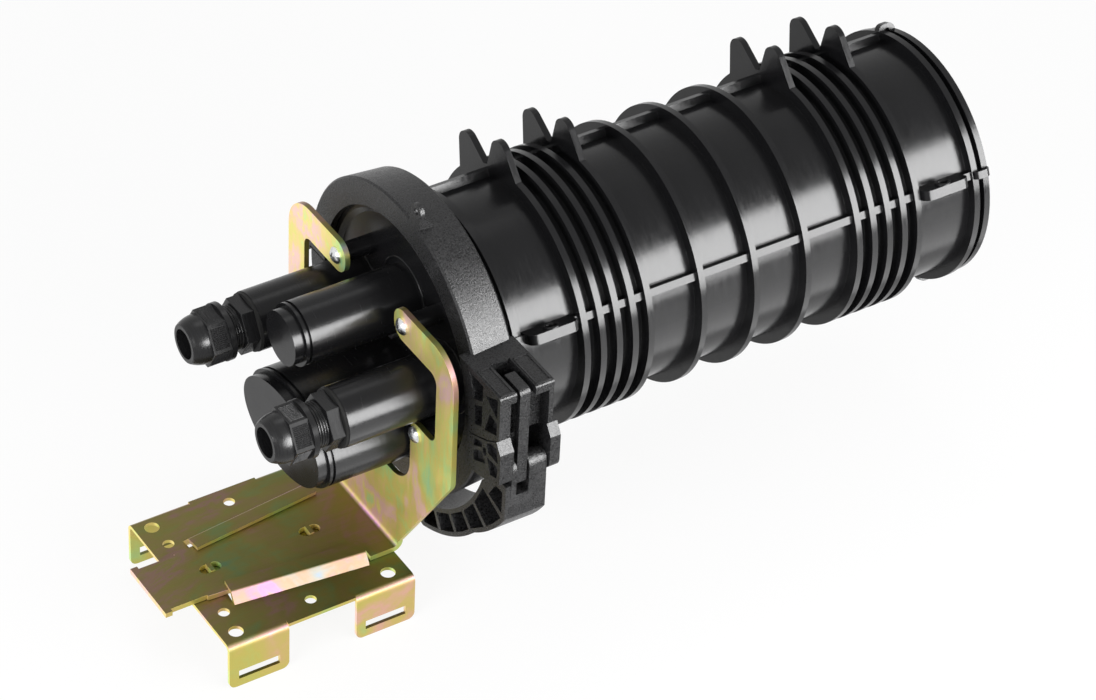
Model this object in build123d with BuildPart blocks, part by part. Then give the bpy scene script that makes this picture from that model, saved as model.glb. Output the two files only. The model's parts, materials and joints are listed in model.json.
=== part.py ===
from build123d import *
from math import atan2, cos, degrees, radians, sin, sqrt, tan
import os

# Dome fibre splice closure on its strap-mount bracket, in millimetres
# +X runs along the closure to the closed end of the dome, -Y is the latch side, +Z points away from the mast
# The origin is the centre of the mounting plate's four corner holes, on the plate's underside

# Clearances
slide_gap = 0.3         # between the bracket's tongue and the plate and its flaps
body_gap = 0.5          # between the latch pieces and what they move past
seat_gap = 0.1          # between pieces that stay still against each other
pin_gap = 0.05          # round a pin in its hole

# Mounting plate
plate_thickness = 2.0
bolt_spacing_x = 90.0
bolt_spacing_y = 91.0
bolt_hole = 8.0
small_hole = 6.2
front_margin = 9.0      # from the front corner holes to the plate's front edge
rear_margin = 11.0
plate_width = 110.0     # over the bent tabs
tab_length = 35.0
tab_drop = 29.0         # from the plate's top face to a tab's lower edge
tab_corner = 4.0
sheet_bend = 2.0        # inside radius of the plate's bends
slot_length = 24.0
slot_height = 5.6
slot_above_edge = 5.0
side_hole_inset = 2.0   # the middle holes lie this far inside the rows of corner holes
front_hole_y = 30.0
front_hole_shift = 1.5

# Guide flaps of the mounting plate
flap_length = 76.0
flap_start = -36.0
flap_angle = 6.0        # half angle of the wedge between the flaps
flap_root_y = 28.0      # half distance between the flap roots at their front ends
flap_slope = 5.0
flap_lip = 8.5
flap_window_margin = 1.5

# Bracket
bracket_thickness = 3.0
bracket_bend = 3.0
upright_front = 58.0    # front face of the upright, from the origin
axis_height = 117.0     # closure axis above the plate's underside
tongue_front = 71.5     # from the origin to the tongue's free end
tee_half_width = 19.5
tee_length = 4.0
neck_half_width = 17.5
neck_end = 46.5
tongue_wedge_angle = 4.0
bend_half_width = 33.5
tie_hole_length = 12.0
tie_hole_width = 6.5
tie_bridge = 2.4
tie_hole_front = -35.0
tie_hole_rear = 24.0
upright_half_width = 83.0
upright_low_corner = -34.0      # heights in the upright count from the closure axis
arm_top = 45.7
arm_bottom = 26.6
arm_tip_y = 24.5
upright_corner = 21.0
side_limb_width = 16.5
finger_top = -17.3
finger_inner_y = 43.0
cutout_bottom = -65.0
cutout_corner = 18.0
cutout_fillet = 6.0

# Screws that hold the bracket to the base head
screw_shank = 5.0
screw_head = 9.4
screw_head_height = 3.4
screw_reach = 11.0
arm_screw_y = 33.0
arm_screw_z = 36.2
finger_screw_y = 48.0
finger_screw_z = -23.8
boss_diameter = 10.4
boss_length = 18.0

# Moulded shell
wall = 2.8
skin_radius = 65.2      # outside of the dome's wall
flange_height = 10.8    # of the two flanges over the wall's outside
flange_root = 7.6       # axial thickness of one flange where it leaves the wall
flange_tip = 5.6
seal_section = 5.0
spigot_length = 17.0
face_thickness = 4.4

# Ports of the base head
port_length = 66.5
gland_port_radius = 16.4
gland_port_y = 43.5
gland_port_z = 3.0
blank_port_radius = 17.0
blank_port_z = 25.2
blank_nose = 5.8
blank_nose_step = 2.1
oval_half_width = 41.0
oval_half_height = 26.4
oval_port_z = -36.6
groove_width = 1.6
groove_depth = 1.4
root_fillet = 2.0

# Cable glands
thread_diameter = 22.6
gland_bore = 16.4
gland_hex = 27.0
body_hex_length = 7.4
washer_thickness = 1.6
screwed_length = 11.0
nut_length = 22.8
nut_hex_length = 10.4
nut_collar_length = 3.0
nut_collar_radius = 15.7
nut_gap_a = 6.0         # thread left bare between the body's hexagon and cap nut a
nut_gap_b = 7.5
nose_inset = 9.5        # from the cap nut's front back to the body's nose
bush_length = 13.0
nut_lip = 2.0

# Dome
first_rib = 58.7        # from the joint face to the first rib's front
rib_pitch = 9.7
rib_bay = 32.7
ribs_in_group = 5
single_ribs = 3
rib_thickness = 3.6
rib_height = 6.8
rim_bay = 38.6
rim_height = 5.6
end_length = 10.8
end_crown = 2.0
collar_bead = 21.0      # from the joint face to the bead behind the clamp
bead_height = 3.2
bead_width = 4.6
ridge_angle = 66.0      # from straight up towards the latch side
ridge_height = 4.4
ridge_thickness = 4.2
fin_reach = 16.8        # height of a fin over the ribs
fin_half_angle = 12.0
fin_tip_radius = 7.6
fin_foot_angle = 24.0
ear_length = 29.0
ear_height = 12.4
ear_thickness = 5.4
ear_hole = 5.0
loop_length = 10.5
loop_height = 8.6
loop_hole = 4.0

# Clamp ring
clamp_width = 23.8
clamp_wall = 9.9        # from the flanges' rims to the clamp's outside
clamp_draft = 1.7
lip_gap = 5.7           # between the dome's wall and the clamp's two lips
head_recess = 6.2       # from the clamp's front face back to the head's face
half_gap = 0.8
hinge_pin = 4.0
hinge_knuckle = 5.6
mid_knuckle = 9.0
seal_lug_angle = 11.5
seal_lug_height = 14.0
seal_lug_width = 9.0
seal_lug_thickness = 2.4
seal_lug_hole = 3.6
gusset_length = 9.0
gusset_thickness = 1.8

# Latch, measured in the end view from the closure axis
ear_front_overhang = 5.4
ear_rear_overhang = 2.2
lug_rear_overhang = 6.2
ear_overhang = 25.1     # of the ears over the ring
ear_top = 41.5
ear_wall = 8.0
rear_wall = 6.0
parting_inner = 1.0
parting_outer = 14.0
pocket_depth = 9.0
pocket_rib = 2.6
recess_depth = 8.0      # of the recess in the upper ear's outer face
beam_thickness = 5.0    # of the wall behind it, which the link's hook holds
beam_top = 36.0
beam_bottom = 29.0
pivot_inset = 5.0       # from the ear's outer face to the lever's pivot
pivot_z = -10.0
pivot_pin = 5.0
lug_radius = 7.0
link_throw = 9.0        # from the lever's pivot to the link pin
link_throw_angle = 11.5 # that the link pin lies inwards of straight below the pivot
link_pin = 4.0
link_width = 6.2
link_thickness = 4.0
link_inset = 0.8        # of the link behind the ear's outer face
notch_gap = 2.4         # beside the link in the upper ear's notch
hook_depth = 4.0
lever_clearance = 7.7   # between the ring and the closed lever
lever_depth = 15.1
lever_tip_angle = 163.0
lever_root_z = -18.4
lever_shoulder_z = -40.0
lever_neck_inset = 9.5  # from the ear's outer face to the lever's inner top corner
lever_bulge = 9.3       # that the lever's shoulder stands out over its curved body
lever_foot = 15.0       # of the cheeks' roots, inwards from the ear's outer face
link_room_floor = 7.2   # below the lever's top
lever_skin = 2.6
lever_ribs = 6

# Splice trays and what carries them
frame_width = 62.0
frame_thickness = 2.0
frame_end_width = 56.0
frame_end_top = 8.0
frame_flange = 12.0
frame_margin = 56.0     # of the inner frame's length beyond the trays
frame_z = -14.0
frame_screw = 4.0
frame_screw_y = 18.0
tray_length = 206.0
tray_width = 88.0
tray_height = 8.0
tray_wall = 1.6
tray_count = 3
tower_length = 22.0
tower_width = 40.0
tray_pin = 3.0
holder_length = 44.0
holder_width = 30.0
holder_slots = 6
cover_thickness = 2.0
clamp_block_length = 22.0
clamp_block_width = 14.0
clamp_block_height = 9.0
clamp_block_y = 17.0
earth_stud = 6.0        # diameter of the bare post that takes the cable lug
earth_post = 10.0       # length of that post
earth_shank = 5.0       # diameter of the shank through the nut and the wall
earth_nut_hex = 10.0
earth_nut_height = 4.4
earth_relief = 0.6      # between the post and the nut
earth_y = 8.0
earth_z = -1.0

# Lattice pockets in the latch's front faces: corner points (distance in from the ear's outer face, height)
upper_pockets = [
    [(13.4, 34.2), (2.4, 39.2), (2.4, 27.0)],
    [(13.4, 12.2), (9.2, 25.4), (2.4, 24.2), (2.4, 16.4)],
]
upper_deep_pockets = [
    [(16.2, 38.2), (29.4, 38.2), (24.2, 24.4), (16.2, 28.2)],
    [(16.2, 25.2), (23.4, 21.2), (22.4, 9.4), (16.2, 12.0)],
]
lower_pockets = [
    [(11.4, 4.4), (7.6, 7.8), (1.6, 8.4), (0.2, -0.4), (9.6, 0.4)],
    [(10.0, -3.2), (0.2, -3.0), (0.8, -10.4), (6.8, -12.4)],
    [(22.6, 0.0), (15.2, 3.0), (15.2, -0.6), (22.6, -4.8)],
    [(22.6, -7.4), (15.0, -3.0), (11.6, -8.6), (22.6, -14.2)],
]
lattice_hole = (12.6, -1.4)
lever_root_pocket = [(15.6, -34.2), (9.6, -23.8), (3.2, -23.8), (3.2, -37.6)]

# Stations along the closure, worked out from the sizes above
head_face = upright_front + bracket_thickness + boss_length
clamp_front = head_face - head_recess
clamp_rear = clamp_front + clamp_width
joint = clamp_front + clamp_width / 2
port_end = head_face - port_length
last_group_rib = first_rib + 2 * (ribs_in_group - 1) * rib_pitch + (single_ribs + 1) * rib_bay
rim_front = joint + last_group_rib + rim_bay
dome_end = rim_front + end_length
rib_radius = skin_radius + rib_height
inner_radius = skin_radius - wall
flange_radius = skin_radius + flange_height
clamp_mouth = skin_radius + lip_gap
clamp_radius = flange_radius + clamp_wall
ear_reach = clamp_radius + ear_overhang
beam_outer = ear_reach - recess_depth
beam_inner = beam_outer - beam_thickness
pivot_y = ear_reach - pivot_inset
link_leg_outer = ear_reach - link_inset
lever_inner = clamp_radius + lever_clearance
lever_outer = lever_inner + lever_depth
tongue_low = plate_thickness + slide_gap
tongue_top = tongue_low + bracket_thickness
plate_front = -bolt_spacing_x / 2 - front_margin
plate_rear = bolt_spacing_x / 2 + rear_margin
upright_rear = upright_front + bracket_thickness

closure_axis = Axis((0, 0, axis_height), (1, 0, 0))
side_view = Plane((0, 0, axis_height), x_dir=(1, 0, 0), z_dir=(0, -1, 0))


def end_view(x):
    """Plane across the closure at station x: local x is +Y, local y is height over the axis."""
    return Plane((x, 0, axis_height), x_dir=(0, 1, 0), z_dir=(1, 0, 0))


def polar(radius, angle):
    """Point of the end view at an angle from straight up towards the latch side."""
    return (-radius * sin(radians(angle)), radius * cos(radians(angle)))


def crown(radius, height):
    """Middle point (distance from the axis, height) of a spherical cap's meridian."""
    ball = (radius**2 + height**2) / (2 * height)
    half = atan2(radius, ball - height) / 2
    return (ball * sin(half), height - ball * (1 - cos(half)))


def corner_near(sketch, point):
    """The corner of a sketch that lies nearest to a point."""
    return sketch.vertices().sort_by_distance(Vector(*point))[0]


# Mounting plate: the sheet with its four tabs bent down
tab_face = plate_width / 2
bend_outer = sheet_bend + plate_thickness
tab_starts = [plate_front, plate_rear - tab_length]

with BuildPart() as mounting_plate:
    with BuildSketch(Plane.XY):
        with BuildLine():
            Polyline(
                (plate_front, -tab_face + 1),
                (plate_rear, -tab_face + 1),
                (plate_rear, tab_face - 1),
                (plate_front, tab_face - 1),
                close=True,
            )
        make_face()
    extrude(amount=plate_thickness)
    with BuildSketch(Plane.XY) as tab_notches:
        for start in tab_starts:
            for side in (-1, 1):
                with Locations((start + tab_length / 2, side * (tab_face - bend_outer / 2))):
                    Rectangle(tab_length, bend_outer)
    extrude(amount=plate_thickness, mode=Mode.SUBTRACT)
    for start in tab_starts:
        for side in (-1, 1):
            with BuildSketch(Plane((start, 0, 0), x_dir=(0, side, 0), z_dir=(side, 0, 0))) as tab_section:
                with Locations((tab_face - bend_outer, plate_thickness)):
                    Rectangle(bend_outer, plate_thickness, align=(Align.MIN, Align.MAX))
                with Locations((tab_face, plate_thickness)):
                    Rectangle(plate_thickness, tab_drop, align=(Align.MAX, Align.MAX))
                fillet(corner_near(tab_section, (tab_face, plate_thickness)), bend_outer)
                fillet(corner_near(tab_section, (tab_face - plate_thickness, 0)), sheet_bend)
            extrude(amount=side * tab_length)
    fillet(
        mounting_plate.edges().filter_by(Axis.Y).group_by(Axis.Z)[0],
        tab_corner,
    )
    slot_z = plate_thickness - tab_drop + slot_above_edge + slot_height / 2
    with BuildSketch(Plane.XZ.offset(-tab_face)):
        for start in tab_starts:
            with Locations((start + tab_length / 2, slot_z)):
                Rectangle(slot_length, slot_height)
    extrude(amount=2 * tab_face, mode=Mode.SUBTRACT)
    with BuildSketch(Plane.XY):
        with GridLocations(bolt_spacing_x, bolt_spacing_y, 2, 2):
            Circle(bolt_hole / 2)
        with GridLocations(1, bolt_spacing_y - 2 * side_hole_inset, 1, 2):
            Circle(small_hole / 2)
        with Locations((-bolt_spacing_x / 2 + front_hole_shift, 0)):
            with GridLocations(1, 2 * front_hole_y, 1, 2):
                Circle(small_hole / 2)
    extrude(amount=plate_thickness, mode=Mode.SUBTRACT)

    # The two guide flaps, lanced out of the sheet and pressed up over the tongue
    flap_rise = bracket_thickness + 2 * slide_gap + plate_thickness
    flap_sheet = sqrt(flap_slope**2 + flap_rise**2) + flap_lip + flap_window_margin
    for side in (-1, 1):
        turn = radians(flap_angle)
        along = (cos(turn), side * sin(turn), 0)
        root = (flap_start, side * flap_root_y, plate_thickness)
        with BuildSketch(Plane(root, x_dir=along, z_dir=(0, 0, 1))) as flap_window:
            with Locations((0, -side * flap_sheet / 2)):
                Rectangle(flap_length, flap_sheet, align=(Align.MIN, Align.CENTER))
        extrude(amount=-plate_thickness, mode=Mode.SUBTRACT)
        inward = (sin(turn), -side * cos(turn), 0)
        with BuildSketch(Plane(root, x_dir=inward, z_dir=(-side * along[0], -side * along[1], 0))) as flap_section:
            with BuildLine():
                Polyline(
                    (-plate_thickness, -plate_thickness),
                    (-plate_thickness, 0),
                    (0, 0),
                    (flap_slope, flap_rise),
                    (flap_slope + flap_lip, flap_rise),
                    (flap_slope + flap_lip, flap_rise - plate_thickness),
                    (flap_slope + plate_thickness / 2, flap_rise - plate_thickness),
                    (plate_thickness, -plate_thickness),
                    close=True,
                )
            make_face()
            fillet(corner_near(flap_section, (flap_slope, flap_rise)), plate_thickness)
        extrude(amount=-side * flap_length)
mounting_plate.part.label = "mounting_plate"


# Bracket: tongue, bend and upright of one sheet
wedge_start = -neck_end
flap_corner = flap_length * cos(radians(flap_angle)) + (flap_slope + flap_lip) * sin(radians(flap_angle))
wedge_end = flap_start + flap_corner + body_gap
wedge_half = neck_half_width + 1 + (wedge_end - wedge_start) * tan(radians(tongue_wedge_angle))
bend_out = bracket_bend + bracket_thickness

with BuildPart() as bracket:
    with BuildSketch(Plane.XY.offset(tongue_low)) as tongue_outline:
        with BuildLine():
            half = Polyline(
                (-tongue_front, 0),
                (-tongue_front, tee_half_width),
                (-tongue_front + tee_length, tee_half_width),
                (-tongue_front + tee_length, neck_half_width),
                (wedge_start, neck_half_width),
                (wedge_start, neck_half_width + 1),
                (wedge_end, wedge_half),
                (wedge_end, bend_half_width),
                (upright_rear - bend_out, bend_half_width),
                (upright_rear - bend_out, 0),
                close=True,
            )
        make_face()
        mirror(about=Plane.XZ)
        for side in (-1, 1):
            fillet(corner_near(tongue_outline, (wedge_end, side * wedge_half)), 2)
        for centre in (tie_hole_front, tie_hole_rear):
            with Locations((centre, 0)):
                SlotOverall(tie_hole_length, tie_hole_width, mode=Mode.SUBTRACT)
                Rectangle(tie_bridge, tie_hole_width)
    extrude(amount=bracket_thickness)
    for centre in (tie_hole_front, tie_hole_rear):
        with BuildSketch(Plane.XY.offset(tongue_top)):
            with Locations((centre, 0)):
                Rectangle(tie_bridge, tie_hole_width)
        extrude(amount=bracket_thickness / 4)

    with BuildSketch(Plane.XZ) as bend_section:
        with Locations((upright_rear, tongue_low)):
            Rectangle(bend_out, bracket_thickness, align=(Align.MAX, Align.MIN))
            Rectangle(bracket_thickness, bend_out, align=(Align.MAX, Align.MIN))
        fillet(corner_near(bend_section, (upright_rear, tongue_low)), bend_out)
        fillet(corner_near(bend_section, (upright_front, tongue_top)), bracket_bend)
    extrude(amount=bend_half_width, both=True)

    bend_top = tongue_low + bend_out - axis_height
    with BuildSketch(end_view(upright_front)) as upright:
        with BuildLine():
            Polyline(
                (0, bend_top),
                (bend_half_width, bend_top),
                (upright_half_width, upright_low_corner),
                (upright_half_width, arm_top),
                (0, arm_top),
                close=True,
            )
        make_face()
        fillet(corner_near(upright, (upright_half_width, upright_low_corner)), upright_corner / 2)
        fillet(corner_near(upright, (upright_half_width, arm_top)), upright_corner)
        mirror(about=Plane.YZ)
        window_half = upright_half_width - side_limb_width
        with BuildSketch(mode=Mode.SUBTRACT) as window:
            with Locations((0, arm_bottom)):
                Rectangle(2 * window_half, arm_bottom - finger_top, align=(Align.CENTER, Align.MAX))
            fillet(window.vertices(), cutout_fillet)
        with BuildSketch(mode=Mode.SUBTRACT) as lower_cutout:
            with Locations((0, finger_top + cutout_fillet)):
                Rectangle(
                    2 * finger_inner_y,
                    finger_top + cutout_fillet - cutout_bottom,
                    align=(Align.CENTER, Align.MAX),
                )
            fillet(lower_cutout.vertices().group_by(Axis.Y)[0], cutout_corner)
        with Locations((0, arm_top)):
            Rectangle(2 * arm_tip_y, 2 * (arm_top - arm_bottom), mode=Mode.SUBTRACT)
        for side in (-1, 1):
            arm_round = 0.45 * (arm_top - arm_bottom)
            fillet(corner_near(upright, (side * arm_tip_y, arm_top)), arm_round)
            fillet(corner_near(upright, (side * arm_tip_y, arm_bottom)), arm_round)
            fillet(corner_near(upright, (side * finger_inner_y, finger_top)), cutout_fillet)
        with Locations(
            (-arm_screw_y, arm_screw_z),
            (arm_screw_y, arm_screw_z),
            (-finger_screw_y, finger_screw_z),
            (finger_screw_y, finger_screw_z),
        ):
            Circle(screw_shank / 2 + seat_gap, mode=Mode.SUBTRACT)
    extrude(amount=bracket_thickness)
bracket.part.label = "bracket"


# Screws of the bracket: pan heads with a cross recess
screw_places = [
    (-arm_screw_y, arm_screw_z),
    (arm_screw_y, arm_screw_z),
    (-finger_screw_y, finger_screw_z),
    (finger_screw_y, finger_screw_z),
]


def pan_screw(seat, shank, head, head_height, reach):
    """A pan-head screw with a cross recess, its head standing on the seat plane."""
    rim = 0.3 * head_height
    middle = crown(head / 2, head_height - rim)
    with BuildPart() as screw:
        with BuildSketch(Plane.XZ):
            with BuildLine():
                Polyline(
                    (0, head_height),
                    (0, -reach),
                    (shank / 2, -reach),
                    (shank / 2, 0),
                    (head / 2, 0),
                    (head / 2, rim),
                )
                ThreePointArc((head / 2, rim), (middle[0], rim + middle[1]), (0, head_height))
            make_face()
        revolve(axis=Axis.Z)
        with BuildSketch(Plane.XY.offset(head_height)):
            Rectangle(0.5 * head, 0.12 * head)
            Rectangle(0.12 * head, 0.5 * head)
        extrude(amount=-0.6 * head_height, mode=Mode.SUBTRACT)
    return seat.location * screw.part


bracket_screws = []
for number, place in enumerate(screw_places, start=1):
    bracket_seat = Plane(
        (upright_front, place[0], axis_height + place[1]), x_dir=(0, 1, 0), z_dir=(-1, 0, 0)
    )
    bracket_screw = pan_screw(
        bracket_seat, screw_shank, screw_head, screw_head_height, bracket_thickness + screw_reach
    )
    bracket_screw.label = f"bracket_screw_{number}"
    bracket_screws.append(bracket_screw)


# Base head: flanged disc with spigot, four ports and four screw bosses
port_bore = thread_diameter / 2 + seat_gap
spigot_radius = inner_radius - seat_gap
groove_floor = inner_radius - seal_section + 0.6
spigot_end = joint + spigot_length
groove_middle = joint + spigot_length / 2
oval_places = [((0, oval_port_z), oval_half_width, oval_half_height)]

with BuildPart() as base_head:
    with BuildSketch(side_view):
        with BuildLine():
            Polyline(
                (head_face, 0),
                (head_face, clamp_mouth - 2 * wall),
                (joint - flange_root, clamp_mouth - wall),
                (joint - flange_root, clamp_mouth),
                (joint - flange_tip, flange_radius),
                (joint, flange_radius),
                (joint, spigot_radius),
                (groove_middle - seal_section / 2, spigot_radius),
                (groove_middle - seal_section / 2, groove_floor),
                (groove_middle + seal_section / 2, groove_floor),
                (groove_middle + seal_section / 2, spigot_radius),
                (spigot_end, spigot_radius),
                (spigot_end, groove_floor - wall),
                (head_face + face_thickness, groove_floor - wall),
                (head_face + face_thickness, 0),
                close=True,
            )
        make_face()
    revolve(axis=closure_axis)

    # Gland ports, the round blank port and the oval blank port, each with its scored nose
    with BuildSketch(end_view(head_face)):
        with Locations((-gland_port_y, gland_port_z), (gland_port_y, gland_port_z)):
            Circle(gland_port_radius)
        with Locations((0, blank_port_z)):
            Circle(blank_port_radius)
        with Locations((0, oval_port_z)):
            Ellipse(oval_half_width, oval_half_height)
    extrude(amount=-port_length)
    with BuildSketch(end_view(port_end)):
        with Locations((0, blank_port_z)):
            Circle(blank_port_radius - blank_nose_step)
        with Locations((0, oval_port_z)):
            Ellipse(oval_half_width - blank_nose_step, oval_half_height - blank_nose_step)
    extrude(amount=-blank_nose)
    with BuildSketch(end_view(port_end + 2 * groove_width)):
        with Locations((0, blank_port_z)):
            Circle(blank_port_radius)
            Circle(blank_port_radius - groove_depth, mode=Mode.SUBTRACT)
        with Locations((0, oval_port_z)):
            Ellipse(oval_half_width, oval_half_height)
            Ellipse(oval_half_width - groove_depth, oval_half_height - groove_depth, mode=Mode.SUBTRACT)
    extrude(amount=-groove_width, mode=Mode.SUBTRACT)

    # Screw bosses towards the bracket
    with BuildSketch(end_view(head_face)):
        with Locations(*screw_places):
            Circle(boss_diameter / 2)
    extrude(amount=-boss_length)
    with BuildSketch(end_view(upright_rear)):
        with Locations(*screw_places):
            Circle(screw_shank / 2 + pin_gap)
    extrude(amount=screw_reach + 1, mode=Mode.SUBTRACT)

    # Hollow ports, open to the inside of the dome
    with BuildSketch(end_view(head_face + face_thickness)):
        with Locations((-gland_port_y, gland_port_z), (gland_port_y, gland_port_z)):
            Circle(port_bore)
    extrude(amount=-port_length - face_thickness, mode=Mode.SUBTRACT)
    with BuildSketch(end_view(head_face + face_thickness)):
        with Locations((0, blank_port_z)):
            Circle(blank_port_radius - 1.6 * wall)
        with Locations((0, oval_port_z)):
            Ellipse(oval_half_width - 1.6 * wall, oval_half_height - 1.6 * wall)
    extrude(amount=-port_length - face_thickness + wall, mode=Mode.SUBTRACT)

    # Holes for the earth stud and the two screws of the inner frame
    with BuildSketch(end_view(head_face)):
        with Locations((earth_y, earth_z)):
            Circle(earth_shank / 2 + pin_gap)
    extrude(amount=face_thickness, mode=Mode.SUBTRACT)
    with BuildSketch(end_view(head_face + face_thickness)):
        with Locations((-frame_screw_y, -2), (frame_screw_y, -2)):
            Circle(frame_screw / 2 + pin_gap)
    extrude(amount=-3.2, mode=Mode.SUBTRACT)
base_head.part.label = "base_head"


# Ring seal in the spigot's groove
seal_radius = (inner_radius - groove_floor) / 2 - seat_gap / 2
with BuildPart() as head_seal:
    with BuildSketch(side_view):
        with Locations((groove_middle, (inner_radius + groove_floor) / 2)):
            Circle(seal_radius)
    revolve(axis=closure_axis)
head_seal.part.label = "head_seal"


# Cable glands: washer, body, bush and cap nut
hex_radius = gland_hex / sqrt(3)
nut_thread = thread_diameter / 2 + 0.6
hex_rear = port_end - washer_thickness
hex_front = hex_rear - body_hex_length


def nut_rear(side):
    """Station of a cap nut's rear face; gland a stands on the hinge side, gland b on the latch side."""
    return hex_front - (nut_gap_a if side > 0 else nut_gap_b)


def nut_front(side):
    return nut_rear(side) - nut_length


def nose_front(side):
    """Station where the body's threaded nose ends inside the cap nut."""
    return nut_front(side) + nose_inset


def gland_plane(x, side):
    """Plane across a gland's axis at station x."""
    return Plane((x, side * gland_port_y, axis_height + gland_port_z), x_dir=(0, 1, 0), z_dir=(1, 0, 0))


def gland_profile(side):
    """Plane along a gland's axis: local x is +X, local y is the radius."""
    return Plane((0, side * gland_port_y, axis_height + gland_port_z), x_dir=(1, 0, 0), z_dir=(0, -1, 0))


def gland_axis(side):
    return Axis((0, side * gland_port_y, axis_height + gland_port_z), (1, 0, 0))


def gland_washer(side):
    """Flat seal between the port's rim and the gland's hexagon."""
    with BuildPart() as washer:
        with BuildSketch(gland_plane(port_end, side)):
            Circle(gland_port_radius - 0.4)
            Circle(port_bore, mode=Mode.SUBTRACT)
        extrude(amount=-washer_thickness)
    return washer.part


def gland_body(side):
    """Body with its hexagon, the spigot in the port and the threaded nose with its bush seat."""
    with BuildPart() as body:
        with BuildSketch(gland_plane(hex_rear, side)):
            RegularPolygon(hex_radius, 6)
        extrude(amount=-body_hex_length)
        with BuildSketch(gland_plane(hex_front, side)):
            Circle(nut_thread - pin_gap)
        extrude(amount=nose_front(side) - hex_front)
        with BuildSketch(gland_plane(hex_rear, side)):
            Circle(thread_diameter / 2)
        extrude(amount=washer_thickness + screwed_length)
        with BuildSketch(gland_plane(nose_front(side), side)):
            Circle(gland_bore / 2)
        extrude(amount=hex_rear + washer_thickness + screwed_length - nose_front(side), mode=Mode.SUBTRACT)
        with BuildSketch(gland_plane(nose_front(side), side)):
            Circle(nut_thread - 1.6)
        extrude(amount=bush_length * 0.75, mode=Mode.SUBTRACT)
    return body.part


def gland_seal(side):
    """Rubber bush between the body's seat and the cap nut's shoulder."""
    with BuildPart() as bush:
        with BuildSketch(gland_plane(nose_front(side) + bush_length * 0.75 - seat_gap, side)):
            Circle(nut_thread - 1.6 - seat_gap)
            Circle(gland_bore / 2, mode=Mode.SUBTRACT)
        extrude(amount=-bush_length * 0.75)
    return bush.part


def gland_nut(side):
    """Cap nut: collar at the rear, hexagon, domed front with the cable opening."""
    rear = nut_rear(side)
    front = nut_front(side)
    dome_root = rear - nut_collar_length - nut_hex_length
    mouth = gland_bore / 2 + nut_lip
    with BuildPart() as nut:
        with BuildSketch(gland_plane(rear, side)):
            Circle(nut_collar_radius)
        extrude(amount=-nut_collar_length)
        with BuildSketch(gland_plane(rear - nut_collar_length, side)):
            RegularPolygon(hex_radius, 6)
        extrude(amount=-nut_hex_length)
        with BuildSketch(gland_profile(side)):
            with BuildLine():
                Polyline((dome_root + 2, 0), (dome_root + 2, gland_hex / 2), (dome_root, gland_hex / 2))
                ThreePointArc(
                    (dome_root, gland_hex / 2),
                    (front + 0.36 * (dome_root - front), gland_hex / 2 - 0.24 * (gland_hex / 2 - mouth) - 0.7),
                    (front, mouth),
                )
                Polyline((front, mouth), (front, 0), (dome_root + 2, 0))
            make_face()
        revolve(axis=gland_axis(side))
        with BuildSketch(gland_profile(side)):
            with BuildLine():
                Polyline(
                    (rear, nut_thread),
                    (nose_front(side) - 1, nut_thread),
                    (front + 5, gland_bore / 2 + 1.2),
                    (front + 5, gland_bore / 2),
                    (front, gland_bore / 2),
                    (front, 0),
                    (rear, 0),
                    close=True,
                )
            make_face()
        revolve(axis=gland_axis(side), mode=Mode.SUBTRACT)
    return nut.part


gland_parts = []
for letter, side in (("a", 1), ("b", -1)):
    for name, maker in (
        ("washer", gland_washer),
        ("body", gland_body),
        ("seal", gland_seal),
        ("nut", gland_nut),
    ):
        piece = maker(side)
        piece.label = f"gland_{letter}_{name}"
        gland_parts.append(piece)


# Dome: flange, wall with ribs, closed end
rib_fronts = [joint + first_rib + i * rib_pitch for i in range(ribs_in_group)]
group_end = rib_fronts[-1]
rib_fronts += [group_end + rib_bay * (i + 1) for i in range(single_ribs)]
group_start = rib_fronts[-1] + rib_bay
rib_fronts += [group_start + i * rib_pitch for i in range(ribs_in_group)]

crown_middle = crown(0.62 * skin_radius, end_crown)

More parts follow.
